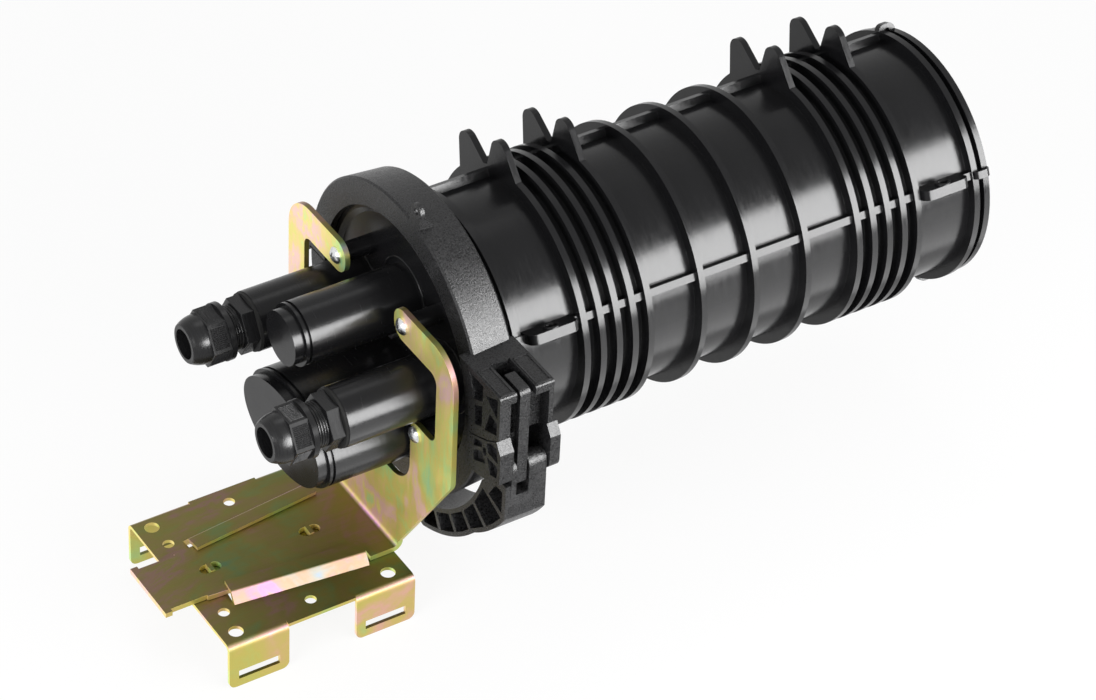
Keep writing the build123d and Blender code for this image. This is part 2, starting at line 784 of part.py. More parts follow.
with BuildPart() as dome:
    with BuildSketch(side_view):
        with BuildLine():
            outside = Polyline(
                (joint, inner_radius),
                (joint, flange_radius),
                (joint + flange_tip, flange_radius),
                (joint + flange_root, clamp_mouth),
                (joint + flange_root, skin_radius),
                (dome_end, skin_radius),
                (dome_end, 0.62 * skin_radius),
            )
            ThreePointArc(
                (dome_end, 0.62 * skin_radius),
                (dome_end + crown_middle[1], crown_middle[0]),
                (dome_end + end_crown, 0),
            )
            Line((dome_end + end_crown, 0), (dome_end + end_crown - wall, 0))
            ThreePointArc(
                (dome_end + end_crown - wall, 0),
                (dome_end + crown_middle[1] - wall, crown_middle[0]),
                (dome_end - wall, 0.62 * skin_radius),
            )
            Polyline(
                (dome_end - wall, 0.62 * skin_radius),
                (dome_end - wall, inner_radius),
                (joint, inner_radius),
            )
        make_face()
    revolve(axis=closure_axis)
    with BuildSketch(side_view):
        for front in rib_fronts:
            with Locations((front, inner_radius + wall / 2)):
                Rectangle(rib_thickness, rib_radius - inner_radius - wall / 2, align=Align.MIN)
        with Locations((rim_front, inner_radius + wall / 2)):
            Rectangle(rib_thickness, rim_height + wall / 2, align=Align.MIN)
        with Locations((dome_end, inner_radius + wall / 2)):
            Rectangle(rib_thickness, rim_height + wall / 2 - 1, align=(Align.MAX, Align.MIN))
        with Locations((joint + collar_bead, inner_radius + wall / 2)):
            Rectangle(bead_width, bead_height + wall / 2, align=Align.MIN)
    revolve(axis=closure_axis)

    # Four ridges along the dome
    ridge_start = joint + collar_bead
    with BuildSketch(end_view(ridge_start)):
        with PolarLocations(skin_radius - wall / 2, 4, start_angle=90 + ridge_angle):
            Rectangle(ridge_height + wall / 2, ridge_thickness, align=(Align.MIN, Align.CENTER))
    extrude(amount=rim_front - ridge_start)

    # Pairs of fins on the outer ribs of both groups, astride the upper ridge
    saddle = ridge_angle - 90
    for front in (rib_fronts[0], rib_fronts[ribs_in_group - 1], rib_fronts[-ribs_in_group], rib_fronts[-1]):
        for side in (-1, 1):
            lean = saddle + side * fin_half_angle
            tip_centre = polar(rib_radius + fin_reach - fin_tip_radius, lean)
            with BuildSketch(end_view(front)):
                with BuildSketch(mode=Mode.PRIVATE) as fin_foot:
                    with BuildLine():
                        Polyline(
                            polar(rib_radius - rib_height / 2, saddle + side * 1.5),
                            polar(rib_radius - rib_height / 2, saddle + side * fin_foot_angle),
                            polar(rib_radius, saddle + side * fin_foot_angle),
                            polar(rib_radius, saddle + side * 1.5),
                            close=True,
                        )
                    make_face()
                with BuildSketch(mode=Mode.PRIVATE) as fin_tip:
                    with Locations(tip_centre):
                        Circle(fin_tip_radius)
                make_hull(fin_foot.sketch.edges() + fin_tip.sketch.edges())
            extrude(amount=rib_thickness)

    # Flat ears with a hole in the first and last bays, and small loops at the end rim
    ear_starts = [ridge_start + bead_width + 1, rim_front - 1.2 * ear_length]
    for angle in (ridge_angle, ridge_angle - 180):
        turn = radians(angle)
        outward = (0, -sin(turn), cos(turn))
        normal = (0, cos(turn), sin(turn))
        flat = Plane((0, 0, axis_height), x_dir=(1, 0, 0), z_dir=normal)
        flip = 1 if flat.y_dir.dot(Vector(*outward)) > 0 else -1
        for start in ear_starts:
            with BuildSketch(flat) as ear:
                with Locations((start, flip * (skin_radius - wall / 2))):
                    Rectangle(
                        ear_length,
                        ear_height + wall / 2,
                        align=(Align.MIN, Align.MIN if flip > 0 else Align.MAX),
                    )
                outer = flip * (skin_radius + ear_height)
                fillet(corner_near(ear, (start, outer)), 0.4 * ear_height)
                fillet(corner_near(ear, (start + ear_length, outer)), 0.4 * ear_height)
                with Locations((start + ear_length / 2, flip * (skin_radius + 0.6 * ear_height))):
                    Circle(ear_hole / 2, mode=Mode.SUBTRACT)
            extrude(amount=ear_thickness / 2, both=True)
    for angle in (ridge_angle, ridge_angle - 90, ridge_angle - 180, ridge_angle - 270):
        turn = radians(angle)
        outward = Vector(0, -sin(turn), cos(turn))
        flat = Plane((0, 0, axis_height), x_dir=(1, 0, 0), z_dir=(0, cos(turn), sin(turn)))
        flip = 1 if flat.y_dir.dot(outward) > 0 else -1
        with BuildSketch(flat) as loop:
            with Locations((dome_end - loop_length, flip * (skin_radius - wall / 2))):
                Rectangle(
                    loop_length,
                    loop_height + wall / 2,
                    align=(Align.MIN, Align.MIN if flip > 0 else Align.MAX),
                )
            outer = flip * (skin_radius + loop_height)
            fillet(corner_near(loop, (dome_end - loop_length, outer)), 0.45 * loop_height)
            fillet(corner_near(loop, (dome_end, outer)), 0.45 * loop_height)
            with Locations((dome_end - loop_length / 2, flip * (skin_radius + 0.5 * loop_height))):
                Circle(loop_hole / 2, mode=Mode.SUBTRACT)
        extrude(amount=ridge_thickness / 2, both=True)
dome.part.label = "dome"


# Clamp ring: two halves with a V groove, hinged on the far side, ears for the latch on the near side
hinge_y = clamp_radius + hinge_knuckle + body_gap
ear_front = clamp_front - ear_front_overhang
ear_rear = clamp_rear + ear_rear_overhang
lug_rear = clamp_rear + lug_rear_overhang
lug_front_inner = ear_front + ear_wall
lug_rear_inner = lug_rear - rear_wall
groove_bottom = flange_radius + 1.5
groove_slope = (flange_root - flange_tip) / (flange_radius - clamp_mouth)
groove_half = flange_root + 0.35
link_front = ear_front + pocket_depth + 3
link_rear = link_front + link_width
pivot_point = (-pivot_y, pivot_z)
link_turn = radians(link_throw_angle)
link_point = (-pivot_y + link_throw * sin(link_turn), pivot_z - link_throw * cos(link_turn))


def cut_block(x_from, x_to, y_from, y_to, low, high):
    """Removes a block given by its stations, its y limits and its heights over the axis."""
    with BuildSketch(end_view(x_from)) as block_outline:
        with Locations(((y_from + y_to) / 2, (low + high) / 2)):
            Rectangle(y_to - y_from, high - low)
    extrude(block_outline.sketch, amount=x_to - x_from, mode=Mode.SUBTRACT)


def from_ear(points):
    """End view points of corners that are given inwards from the ear's outer face."""
    return [(inset - ear_reach, height) for inset, height in points]


def cut_pockets(x_from, depth, outlines):
    """Sinks lattice pockets from a front face."""
    with BuildSketch(end_view(x_from)) as pocket_outlines:
        for outline in outlines:
            Polygon(*outline)
    extrude(pocket_outlines.sketch, amount=depth, mode=Mode.SUBTRACT)


def ring_profile():
    """Section of the clamp ring with its V groove over the two flanges."""
    bottom_half = groove_half - groove_slope * (groove_bottom - clamp_mouth)
    with BuildSketch(side_view) as section:
        Polygon(
            (clamp_front, clamp_mouth),
            (clamp_front, clamp_radius - 1),
            (clamp_front + 1, clamp_radius),
            (clamp_rear - 1, clamp_radius - clamp_draft),
            (clamp_rear, clamp_radius - clamp_draft - 1),
            (clamp_rear, clamp_mouth),
            (joint + groove_half, clamp_mouth),
            (joint + bottom_half, groove_bottom),
            (joint - bottom_half, groove_bottom),
            (joint - groove_half, clamp_mouth),
        )
    return section.sketch


def parting_line(offset):
    """The stepped parting between the halves, from the far side to the latch side."""
    return [
        (hinge_y + 2 * hinge_knuckle, offset),
        (-clamp_mouth + 4, offset),
        (-clamp_radius, parting_inner + offset),
        (-ear_reach + 10, parting_inner + 6.5 + offset),
        (-ear_reach, parting_outer + offset),
        (-ear_reach - 10, parting_outer + offset),
    ]


def knuckle(x_from, x_to, side):
    """One hinge knuckle with its web to the ring; side is 1 above the parting and -1 below."""
    with BuildSketch(end_view(x_from)) as knuckle_outline:
        with Locations((hinge_y, 0)):
            Circle(hinge_knuckle)
        with Locations((hinge_y, side * half_gap / 2)):
            Rectangle(
                hinge_y - clamp_mouth - 6,
                hinge_knuckle - half_gap / 2,
                align=(Align.MAX, Align.MIN if side > 0 else Align.MAX),
            )
    extrude(knuckle_outline.sketch, amount=x_to - x_from)


def knuckle_bore():
    """Hole for the hinge pin through all knuckles of one half."""
    with BuildSketch(end_view(clamp_front)) as bore_outline:
        with Locations((hinge_y, 0)):
            Circle(hinge_pin / 2 + pin_gap)
    extrude(bore_outline.sketch, amount=clamp_width, mode=Mode.SUBTRACT)


lug_round = clamp_radius + seal_lug_height - seal_lug_width / 2
gusset_turn = radians(seal_lug_angle)
gusset_plane = Plane(
    (
        clamp_front,
        -(seal_lug_width / 2) * cos(gusset_turn),
        axis_height - (seal_lug_width / 2) * sin(gusset_turn),
    ),
    x_dir=(1, 0, 0),
    z_dir=(0, -cos(gusset_turn), -sin(gusset_turn)),
)

with BuildPart() as clamp_upper:
    with BuildSketch(end_view(ear_front)) as upper_ear:
        Polygon(
            (-clamp_mouth, ear_top),
            (-ear_reach, ear_top),
            (-ear_reach, 0),
            (-clamp_mouth, 0),
        )
        fillet(corner_near(upper_ear, (-ear_reach, ear_top)), 1.5)
    extrude(amount=ear_rear - ear_front)
    with BuildSketch(end_view(ear_front)):
        Circle(clamp_radius - 3)
    extrude(amount=ear_rear - ear_front, mode=Mode.SUBTRACT)
    revolve(ring_profile(), axis=closure_axis)
    with BuildSketch(end_view(clamp_front)):
        with Locations(polar(lug_round - seal_lug_height / 2, seal_lug_angle)):
            Rectangle(seal_lug_width, seal_lug_height, rotation=seal_lug_angle)
        with Locations(polar(lug_round, seal_lug_angle)):
            Circle(seal_lug_width / 2)
            Circle(seal_lug_hole / 2, mode=Mode.SUBTRACT)
    extrude(amount=seal_lug_thickness)
    # Gusset that stiffens the seal lug, along its latch side
    with BuildSketch(gusset_plane):
        Polygon(
            (0, clamp_radius - 3),
            (0, lug_round - 1),
            (seal_lug_thickness, lug_round - 1),
            (gusset_length, clamp_radius),
            (gusset_length, clamp_radius - 3),
        )
    extrude(amount=-gusset_thickness)
    with BuildSketch(end_view(ear_front - 1)):
        Polygon(
            *parting_line(half_gap / 2),
            (-ear_reach - 10, -2 * clamp_radius),
            (hinge_y + 2 * hinge_knuckle, -2 * clamp_radius),
        )
    extrude(amount=ear_rear - ear_front + 2, mode=Mode.SUBTRACT)
    knuckle(clamp_front, joint - mid_knuckle / 2 - seat_gap, 1)
    knuckle(joint + mid_knuckle / 2 + seat_gap, clamp_rear, 1)
    knuckle_bore()
    # Recess behind the front wall, the notch the link passes and the slot its hook drops into
    cut_block(ear_front + 6.3, ear_rear - 2.8, -ear_reach, -beam_outer, 0, beam_top)
    cut_block(link_front - notch_gap, link_rear + notch_gap, -ear_reach, -beam_inner, beam_top, ear_top)
    cut_block(link_front - notch_gap, link_rear + notch_gap, -beam_inner, -clamp_radius, beam_bottom, ear_top)
    cut_pockets(ear_front, 0.5 * pocket_depth, [from_ear(points) for points in upper_pockets])
    cut_pockets(ear_front, 0.8 * pocket_depth, [from_ear(points) for points in upper_deep_pockets])
clamp_upper.part.label = "clamp_upper"

with BuildPart() as clamp_lower:
    with BuildSketch(end_view(ear_front)) as lower_ear:
        with BuildSketch(mode=Mode.PRIVATE) as pivot_round:
            with Locations(pivot_point):
                Circle(lug_radius)
        with BuildSketch(mode=Mode.PRIVATE) as ear_root:
            Polygon((-clamp_mouth, 14), (-clamp_mouth, -24), (-79, -24), (-79, 14))
        make_hull(pivot_round.sketch.edges() + ear_root.sketch.edges())
        Polygon(
            (-clamp_mouth, 20),
            (-pivot_y + 2, 20),
            (-pivot_y - lug_radius, 6),
            (-pivot_y - lug_radius, pivot_z),
            (-clamp_mouth, pivot_z),
        )
    extrude(amount=lug_rear - ear_front)
    with BuildSketch(end_view(ear_front)):
        Circle(clamp_radius - 3)
    extrude(amount=lug_rear - ear_front, mode=Mode.SUBTRACT)
    # Room for the lever's cheeks and the link between the two lugs
    cut_block(
        lug_front_inner, lug_rear_inner, -ear_reach - 10, -clamp_radius - 7, -2 * clamp_radius, clamp_radius
    )
    revolve(ring_profile(), axis=closure_axis)
    with BuildSketch(end_view(ear_front - 1)):
        Polygon(
            *parting_line(-half_gap / 2),
            (-ear_reach - 10, 2 * clamp_radius),
            (hinge_y + 2 * hinge_knuckle, 2 * clamp_radius),
        )
    extrude(amount=lug_rear - ear_front + 2, mode=Mode.SUBTRACT)
    knuckle(joint - mid_knuckle / 2, joint + mid_knuckle / 2, -1)
    knuckle_bore()
    # Blind pivot hole in the front lug, through hole in the rear lug
    with BuildSketch(end_view(lug_front_inner)):
        with Locations(pivot_point):
            Circle(pivot_pin / 2 + pin_gap)
    extrude(amount=-ear_wall / 2, mode=Mode.SUBTRACT)
    with BuildSketch(end_view(lug_rear_inner)):
        with Locations(pivot_point):
            Circle(pivot_pin / 2 + pin_gap)
    extrude(amount=rear_wall, mode=Mode.SUBTRACT)
    cut_pockets(ear_front, 0.3 * pocket_depth, [from_ear(points) for points in lower_pockets])
    with BuildSketch(end_view(ear_front)):
        with Locations(*from_ear([lattice_hole])):
            Ellipse(1.6, 2.6)
    extrude(amount=0.3 * pocket_depth, mode=Mode.SUBTRACT)
clamp_lower.part.label = "clamp_lower"

with BuildPart() as clamp_hinge_pin:
    with BuildSketch(end_view(clamp_front - 1)):
        with Locations((hinge_y, 0)):
            Circle(hinge_pin / 2)
    extrude(amount=clamp_width + 2)
clamp_hinge_pin.part.label = "clamp_hinge_pin"


# Latch: curved lever, its two stub pins, the hooked link and the link's pin
cheek_front = lug_front_inner + body_gap
cheek_rear = lug_rear_inner - body_gap
link_room_front = link_front - body_gap
link_room_rear = link_rear + body_gap
cheek_radius = lug_radius - 1.5


def lever_rim(angle):
    """Outer radius of the lever's curved body."""
    blend = min(max((angle - 110) / 20, 0), 1)
    return lever_outer + (1 - blend) * lever_bulge


rib_step = 10.0
pocket_starts = [111.0] + [122.6 + rib_step * i for i in range(lever_ribs - 2)]
pocket_ends = [121.0] + [131.0 + rib_step * i for i in range(lever_ribs - 3)] + [lever_tip_angle - 2.5]
lever_pockets = [from_ear(lever_root_pocket)]
for start, end in zip(pocket_starts, pocket_ends):
    lever_pockets.append(
        [
            polar(lever_inner + lever_skin, start),
            polar(lever_inner + lever_skin, end),
            polar(lever_rim(end) - lever_skin, end),
            polar(lever_rim((start + end) / 2) - lever_skin, (start + end) / 2),
            polar(lever_rim(start) - lever_skin, start),
        ]
    )

with BuildPart() as latch_lever:
    with BuildSketch(end_view(clamp_front)) as lever_outline:
        with BuildLine():
            Polyline(
                polar(lever_inner, 108.5),
                (lever_neck_inset - ear_reach, lever_root_z),
                (-ear_reach, lever_root_z),
                (-ear_reach, lever_shoulder_z),
            )
            ThreePointArc(
                (-ear_reach, lever_shoulder_z),
                polar(lever_rim(119), 119),
                polar(lever_outer, 130),
            )
            ThreePointArc(
                polar(lever_outer, 130),
                polar(lever_outer, 146),
                polar(lever_outer, lever_tip_angle),
            )
            Line(polar(lever_outer, lever_tip_angle), polar(lever_inner, lever_tip_angle))
            ThreePointArc(
                polar(lever_inner, lever_tip_angle),
                polar(lever_inner, 136),
                polar(lever_inner, 108.5),
            )
        make_face()
        fillet(corner_near(lever_outline, polar(lever_inner, lever_tip_angle)), 3)
        fillet(corner_near(lever_outline, polar(lever_outer, lever_tip_angle)), 3)
    extrude(amount=clamp_width)
    with BuildSketch(end_view(cheek_front)):
        with BuildSketch(mode=Mode.PRIVATE) as cheek_round:
            with Locations(pivot_point):
                Circle(cheek_radius)
        with BuildSketch(mode=Mode.PRIVATE) as cheek_foot:
            Polygon(*from_ear([(0, -24), (0, -30), (lever_foot, -30), (lever_foot, -24)]))
        make_hull(cheek_round.sketch.edges() + cheek_foot.sketch.edges())
    extrude(amount=cheek_rear - cheek_front)
    cut_block(
        link_room_front,
        link_room_rear,
        -2 * ear_reach,
        lever_foot - 0.5 - ear_reach,
        lever_root_z - link_room_floor,
        clamp_radius,
    )
    with BuildSketch(end_view(cheek_front)):
        with Locations(pivot_point):
            Circle(pivot_pin / 2 + pin_gap)
        with Locations(link_point):
            Circle(link_pin / 2 + pin_gap)
    extrude(amount=cheek_rear - cheek_front, mode=Mode.SUBTRACT)
    cut_pockets(clamp_front, pocket_depth, lever_pockets)
latch_lever.part.label = "latch_lever"

with BuildPart() as latch_pivot_pins:
    for x_from, x_to in ((lug_front_inner - ear_wall / 2 + seat_gap, link_room_front), (link_room_rear, lug_rear)):
        with BuildSketch(end_view(x_from)):
            with Locations(pivot_point):
                Circle(pivot_pin / 2)
        extrude(amount=x_to - x_from)
latch_pivot_pins.part.label = "latch_pivot_pins"

leg_inner = link_leg_outer - link_thickness
bridge_low = beam_top + 1.6 * body_gap
with BuildPart() as latch_link:
    with BuildSketch(end_view(link_front)) as link_outline:
        Polygon(
            (-link_leg_outer, link_point[1]),
            (-link_leg_outer, bridge_low + link_thickness),
            (-beam_inner + body_gap + 3, bridge_low + link_thickness),
            (-beam_inner + body_gap + 3, bridge_low - hook_depth),
            (-beam_inner + body_gap, bridge_low - hook_depth),
            (-beam_inner + body_gap, bridge_low),
            (-leg_inner, bridge_low),
            (-leg_inner, link_point[1]),
        )
        fillet(corner_near(link_outline, (-link_leg_outer, bridge_low + link_thickness)), 3)
        fillet(corner_near(link_outline, (-leg_inner, bridge_low)), 1.2)
        with Locations(link_point):
            Circle(link_pin / 2 + 2.4)
        Polygon(
            (-link_leg_outer, link_point[1]),
            (-leg_inner, link_point[1] + 10),
            (link_point[0], link_point[1]),
        )
        with Locations(link_point):
            Circle(link_pin / 2 + pin_gap, mode=Mode.SUBTRACT)
    extrude(amount=link_width)
latch_link.part.label = "latch_link"

with BuildPart() as latch_link_pin:
    with BuildSketch(end_view(cheek_front)):
        with Locations(link_point):
            Circle(link_pin / 2)
    extrude(amount=cheek_rear - cheek_front)
latch_link_pin.part.label = "latch_link_pin"


# Inner frame, tower and splice trays
frame_front = head_face + face_thickness
frame_top = frame_z + frame_thickness
tray_bottom = frame_z + frame_flange
tower_front = frame_front + clamp_block_length + 10
tray_front = tower_front + tower_length + 2
tray_rear = tray_front + tray_length
tray_middle = (tray_front + tray_rear) / 2
ear_inner_y = tower_width / 2 + body_gap

with BuildPart() as inner_frame:
    with BuildSketch(end_view(frame_front)):
        with Locations((0, frame_z)):
            Rectangle(frame_width, frame_flange, align=(Align.CENTER, Align.MIN))
        with Locations((0, frame_top)):
            Rectangle(
                frame_width - 2 * frame_thickness, frame_flange, align=(Align.CENTER, Align.MIN), mode=Mode.SUBTRACT
            )
    extrude(amount=tray_length + frame_margin)
    with BuildSketch(end_view(frame_front)):
        with Locations((0, frame_z)):
            Rectangle(frame_end_width, frame_end_top - frame_z, align=(Align.CENTER, Align.MIN))
        with Locations((-frame_screw_y, -2), (frame_screw_y, -2)):
            Circle(frame_screw / 2 + pin_gap, mode=Mode.SUBTRACT)
        with Locations((earth_y, earth_z)):
            Circle(earth_shank / 2 + body_gap, mode=Mode.SUBTRACT)
    extrude(amount=frame_thickness)
    with BuildSketch(Plane.XY.offset(axis_height + frame_z)):
        with Locations((tray_middle, 0)):
            with GridLocations(44, 1, 4, 1):
                SlotOverall(30, 14)
    extrude(amount=frame_thickness, mode=Mode.SUBTRACT)
inner_frame.part.label = "inner_frame"

with BuildPart() as tray_tower:
    tower_top = tray_bottom + tray_count * tray_height
    with BuildSketch(end_view(tower_front)):
        with Locations((0, frame_top)):
            Rectangle(tower_width, tower_top - frame_top, align=(Align.CENTER, Align.MIN))
    extrude(amount=tower_length)
    with BuildSketch(Plane.XY.offset(axis_height + tower_top)):
        with Locations((tower_front + tower_length / 2, 0)):
            Rectangle(tower_length - 6, tower_width - 8)
    extrude(amount=-(tower_top - frame_top) + 3, mode=Mode.SUBTRACT)
    with BuildSketch(Plane.XZ):
        for level in range(tray_count):
            with Locations(
                (tower_front + tower_length / 2, axis_height + tray_bottom + (level + 0.5) * tray_height)
            ):
                Circle(tray_pin / 2)
    extrude(amount=ear_inner_y + 2.4, both=True)
    with BuildSketch(Plane.XY.offset(axis_height + tower_top)):
        with Locations((tower_front + tower_length / 2, 0)):
            Rectangle(tower_length - 6, tower_width - 8)
    extrude(amount=-(tower_top - frame_top) + 3, mode=Mode.SUBTRACT)
tray_tower.part.label = "tray_tower"


def splice_tray(level):
    """One open tray with rim, two fibre drums and the hinge arms to the tower."""
    bottom = axis_height + tray_bottom + level * tray_height
    with BuildPart() as tray:
        with BuildSketch(Plane.XY.offset(bottom)):
            with Locations((tray_middle, 0)):
                RectangleRounded(tray_length, tray_width, 12)
        extrude(amount=tray_height)
        with BuildSketch(Plane.XY.offset(bottom + tray_wall)):
            with Locations((tray_middle, 0)):
                RectangleRounded(tray_length - 2 * tray_wall, tray_width - 2 * tray_wall, 12 - tray_wall)
        extrude(amount=tray_height, mode=Mode.SUBTRACT)
        with BuildSketch(Plane.XY.offset(bottom + tray_wall)):
            for place in (tray_middle - tray_length / 3, tray_middle + tray_length / 3):
                with Locations((place, 0)):
                    Circle(21)
                    Circle(21 - tray_wall, mode=Mode.SUBTRACT)
        extrude(amount=tray_height - 2 * tray_wall)
        for side in (-1, 1):
            with BuildSketch(Plane.XZ.offset(-side * ear_inner_y)):
                with Locations((tray_front + 13, bottom)):
                    Rectangle(
                        tray_front + 13 - tower_front - tower_length / 4,
                        tray_height,
                        align=(Align.MAX, Align.MIN),
                    )
                with Locations((tower_front + tower_length / 2, bottom + tray_height / 2)):
                    Circle(tray_pin / 2 + pin_gap, mode=Mode.SUBTRACT)
            extrude(amount=-side * 2.4)
    tray.part.label = f"splice_tray_{level + 1}"
    return tray.part


def splice_holder(level):
    """Slotted block for the splice sleeves, standing on a tray's floor."""
    floor = axis_height + tray_bottom + level * tray_height + tray_wall
    with BuildPart() as holder:
        with BuildSketch(Plane.XY.offset(floor)):
            with Locations((tray_middle, 0)):
                Rectangle(holder_length, holder_width)
        extrude(amount=tray_height - 2 * tray_wall)
        with BuildSketch(Plane.XY.offset(floor + tray_wall)):
            with Locations((tray_middle, 0)):
                with GridLocations(1, holder_width / holder_slots, 1, holder_slots):
                    Rectangle(holder_length, 0.56 * holder_width / holder_slots)
        extrude(amount=tray_height, mode=Mode.SUBTRACT)
    holder.part.label = f"splice_holder_{level + 1}"
    return holder.part


trays = [splice_tray(level) for level in range(tray_count)]
holders = [splice_holder(level) for level in range(tray_count)]

with BuildPart() as tray_cover:
    with BuildSketch(Plane.XY.offset(axis_height + tray_bottom + tray_count * tray_height)):
        with Locations((tray_middle, 0)):
            RectangleRounded(tray_length, tray_width, 12)
    extrude(amount=cover_thickness)
tray_cover.part.label = "tray_cover"

frame_screws = []
for number, side in enumerate((-1, 1), start=1):
    frame_seat = Plane(
        (frame_front + frame_thickness, side * frame_screw_y, axis_height - 2), x_dir=(0, 1, 0), z_dir=(1, 0, 0)
    )
    frame_fixing = pan_screw(frame_seat, frame_screw, 1.9 * frame_screw, 0.6 * frame_screw, frame_thickness + 3)
    frame_fixing.label = f"frame_screw_{number}"
    frame_screws.append(frame_fixing)


# Clamps for the cables' strength members, with their screws
block_middle = frame_front + 5 + clamp_block_length / 2
clamp_screw_reach = 4.0


def strength_clamp(side):
    """Block with a round channel for the member, standing on the inner frame."""
    with BuildPart() as block:
        with BuildSketch(Plane.XY.offset(axis_height + frame_top)):
            with Locations((block_middle, side * clamp_block_y)):
                RectangleRounded(clamp_block_length, clamp_block_width, 2)
        extrude(amount=clamp_block_height)
        with BuildSketch(Plane.XY.offset(axis_height + frame_top + clamp_block_height)):
            with Locations((block_middle, side * clamp_block_y)):
                Circle(frame_screw / 2 + pin_gap)
        extrude(amount=-clamp_screw_reach - seat_gap, mode=Mode.SUBTRACT)
        with BuildSketch(end_view(frame_front)):
            with Locations((side * clamp_block_y, frame_top + 2.2)):
                Circle(1.6)
        extrude(amount=2 * clamp_block_length, mode=Mode.SUBTRACT)
    return block.part


strength_parts = []
for letter, side in (("a", 1), ("b", -1)):
    block = strength_clamp(side)
    block.label = f"strength_clamp_{letter}"
    strength_parts.append(block)
    clamp_seat = Plane((block_middle, side * clamp_block_y, axis_height + frame_top + clamp_block_height))
    clamp_screw = pan_screw(clamp_seat, frame_screw, 1.9 * frame_screw, 0.6 * frame_screw, clamp_screw_reach)
    clamp_screw.label = f"clamp_screw_{letter}"
    strength_parts.append(clamp_screw)


# Earth stud through the base head and its nut
post_rear = head_face - earth_nut_height - earth_relief
with BuildPart() as earth_bolt:
    with BuildSketch(end_view(post_rear - earth_post)):
        with Locations((earth_y, earth_z)):
            Circle(earth_stud / 2)
    extrude(amount=earth_post)
    with BuildSketch(end_view(post_rear)):
        with Locations((earth_y, earth_z)):
            Circle(earth_shank / 2)
    extrude(amount=head_face + face_thickness + 4 - post_rear)
earth_bolt.part.label = "earth_stud"

with BuildPart() as earth_nut:
    with BuildSketch(end_view(head_face)):
        with Locations((earth_y, earth_z)):
            RegularPolygon(earth_nut_hex / sqrt(3), 6)
            Circle(earth_shank / 2 + pin_gap, mode=Mode.SUBTRACT)
    extrude(amount=-earth_nut_height)
earth_nut.part.label = "earth_nut"


os.makedirs("parts", exist_ok=True)
shell_parts = [mounting_plate.part, bracket.part, base_head.part, head_seal.part, dome.part]
clamp_parts = [clamp_upper.part, clamp_lower.part, clamp_hinge_pin.part]
latch_parts = [latch_lever.part, latch_pivot_pins.part, latch_link.part, latch_link_pin.part]
tray_parts = [inner_frame.part, tray_tower.part, tray_cover.part] + trays + holders
earth_parts = [earth_bolt.part, earth_nut.part]
all_parts = shell_parts + bracket_screws + gland_parts + clamp_parts + latch_parts
all_parts += tray_parts + frame_screws + strength_parts + earth_parts
for piece in all_parts:
    export_step(piece, f"parts/{piece.label}.step")
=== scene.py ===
# %% [markdown]
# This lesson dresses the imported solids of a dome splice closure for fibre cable.
# The solids arrive as a fixed frame: each node already has its place, in metres, and rides on its body.
# Everything added here is modelled with Blender's own operators around that frame.

import json
from math import cos, pi, radians, sin

import bpy
from mathutils import Matrix, Vector

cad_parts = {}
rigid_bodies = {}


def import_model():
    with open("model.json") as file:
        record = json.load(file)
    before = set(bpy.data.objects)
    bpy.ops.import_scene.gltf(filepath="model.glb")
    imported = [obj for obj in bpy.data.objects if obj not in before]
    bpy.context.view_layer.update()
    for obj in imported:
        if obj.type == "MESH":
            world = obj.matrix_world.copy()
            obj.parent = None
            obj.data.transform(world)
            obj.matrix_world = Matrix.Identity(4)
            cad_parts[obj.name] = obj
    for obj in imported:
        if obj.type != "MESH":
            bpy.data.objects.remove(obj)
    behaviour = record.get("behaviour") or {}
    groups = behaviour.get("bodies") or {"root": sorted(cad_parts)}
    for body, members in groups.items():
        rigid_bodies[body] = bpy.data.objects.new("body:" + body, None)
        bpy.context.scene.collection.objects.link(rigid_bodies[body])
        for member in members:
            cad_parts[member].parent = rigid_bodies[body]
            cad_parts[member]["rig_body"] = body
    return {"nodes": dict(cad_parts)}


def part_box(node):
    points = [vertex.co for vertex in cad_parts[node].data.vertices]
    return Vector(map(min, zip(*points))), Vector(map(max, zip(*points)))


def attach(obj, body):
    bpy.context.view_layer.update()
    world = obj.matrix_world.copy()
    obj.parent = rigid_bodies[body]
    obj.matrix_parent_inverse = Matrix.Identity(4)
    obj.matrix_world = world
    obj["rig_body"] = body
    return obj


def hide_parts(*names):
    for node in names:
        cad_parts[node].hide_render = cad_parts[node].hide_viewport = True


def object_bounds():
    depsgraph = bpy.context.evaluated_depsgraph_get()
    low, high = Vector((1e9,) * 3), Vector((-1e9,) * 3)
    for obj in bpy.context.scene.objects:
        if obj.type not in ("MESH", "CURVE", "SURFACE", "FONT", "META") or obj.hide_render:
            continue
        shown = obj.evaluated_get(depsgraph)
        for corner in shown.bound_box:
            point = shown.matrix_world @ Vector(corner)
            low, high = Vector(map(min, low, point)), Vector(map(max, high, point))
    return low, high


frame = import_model()
cad_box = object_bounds()

# %% [markdown]
# The closure's axis is the line that most pieces turn around, so its height is needed again and again.
# It is read from the clamp's hinge pin, which lies at that height, and not typed in.

# %% Lines that the pieces share
pin_low, pin_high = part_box("clamp_hinge_pin")
AXIS_Z = (pin_low.z + pin_high.z) / 2
gland_low, gland_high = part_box("gland_a_washer")
GLAND_Y = (gland_low.y + gland_high.y) / 2
GLAND_Z = (gland_low.z + gland_high.z) / 2
print("closure axis at", round(AXIS_Z, 4), "gland axes at y", round(GLAND_Y, 4))

# %% [markdown]
# Operators act on whatever is selected, and loading leaves every node selected.
# These small helpers clear the selection, pick one object, and step in and out of edit mode.


# %% Selection helpers
def clear_selection():
    """Leaves edit mode and deselects everything."""
    if bpy.context.object and bpy.context.object.mode != "OBJECT":
        bpy.ops.object.mode_set(mode="OBJECT")
    bpy.ops.object.select_all(action="DESELECT")


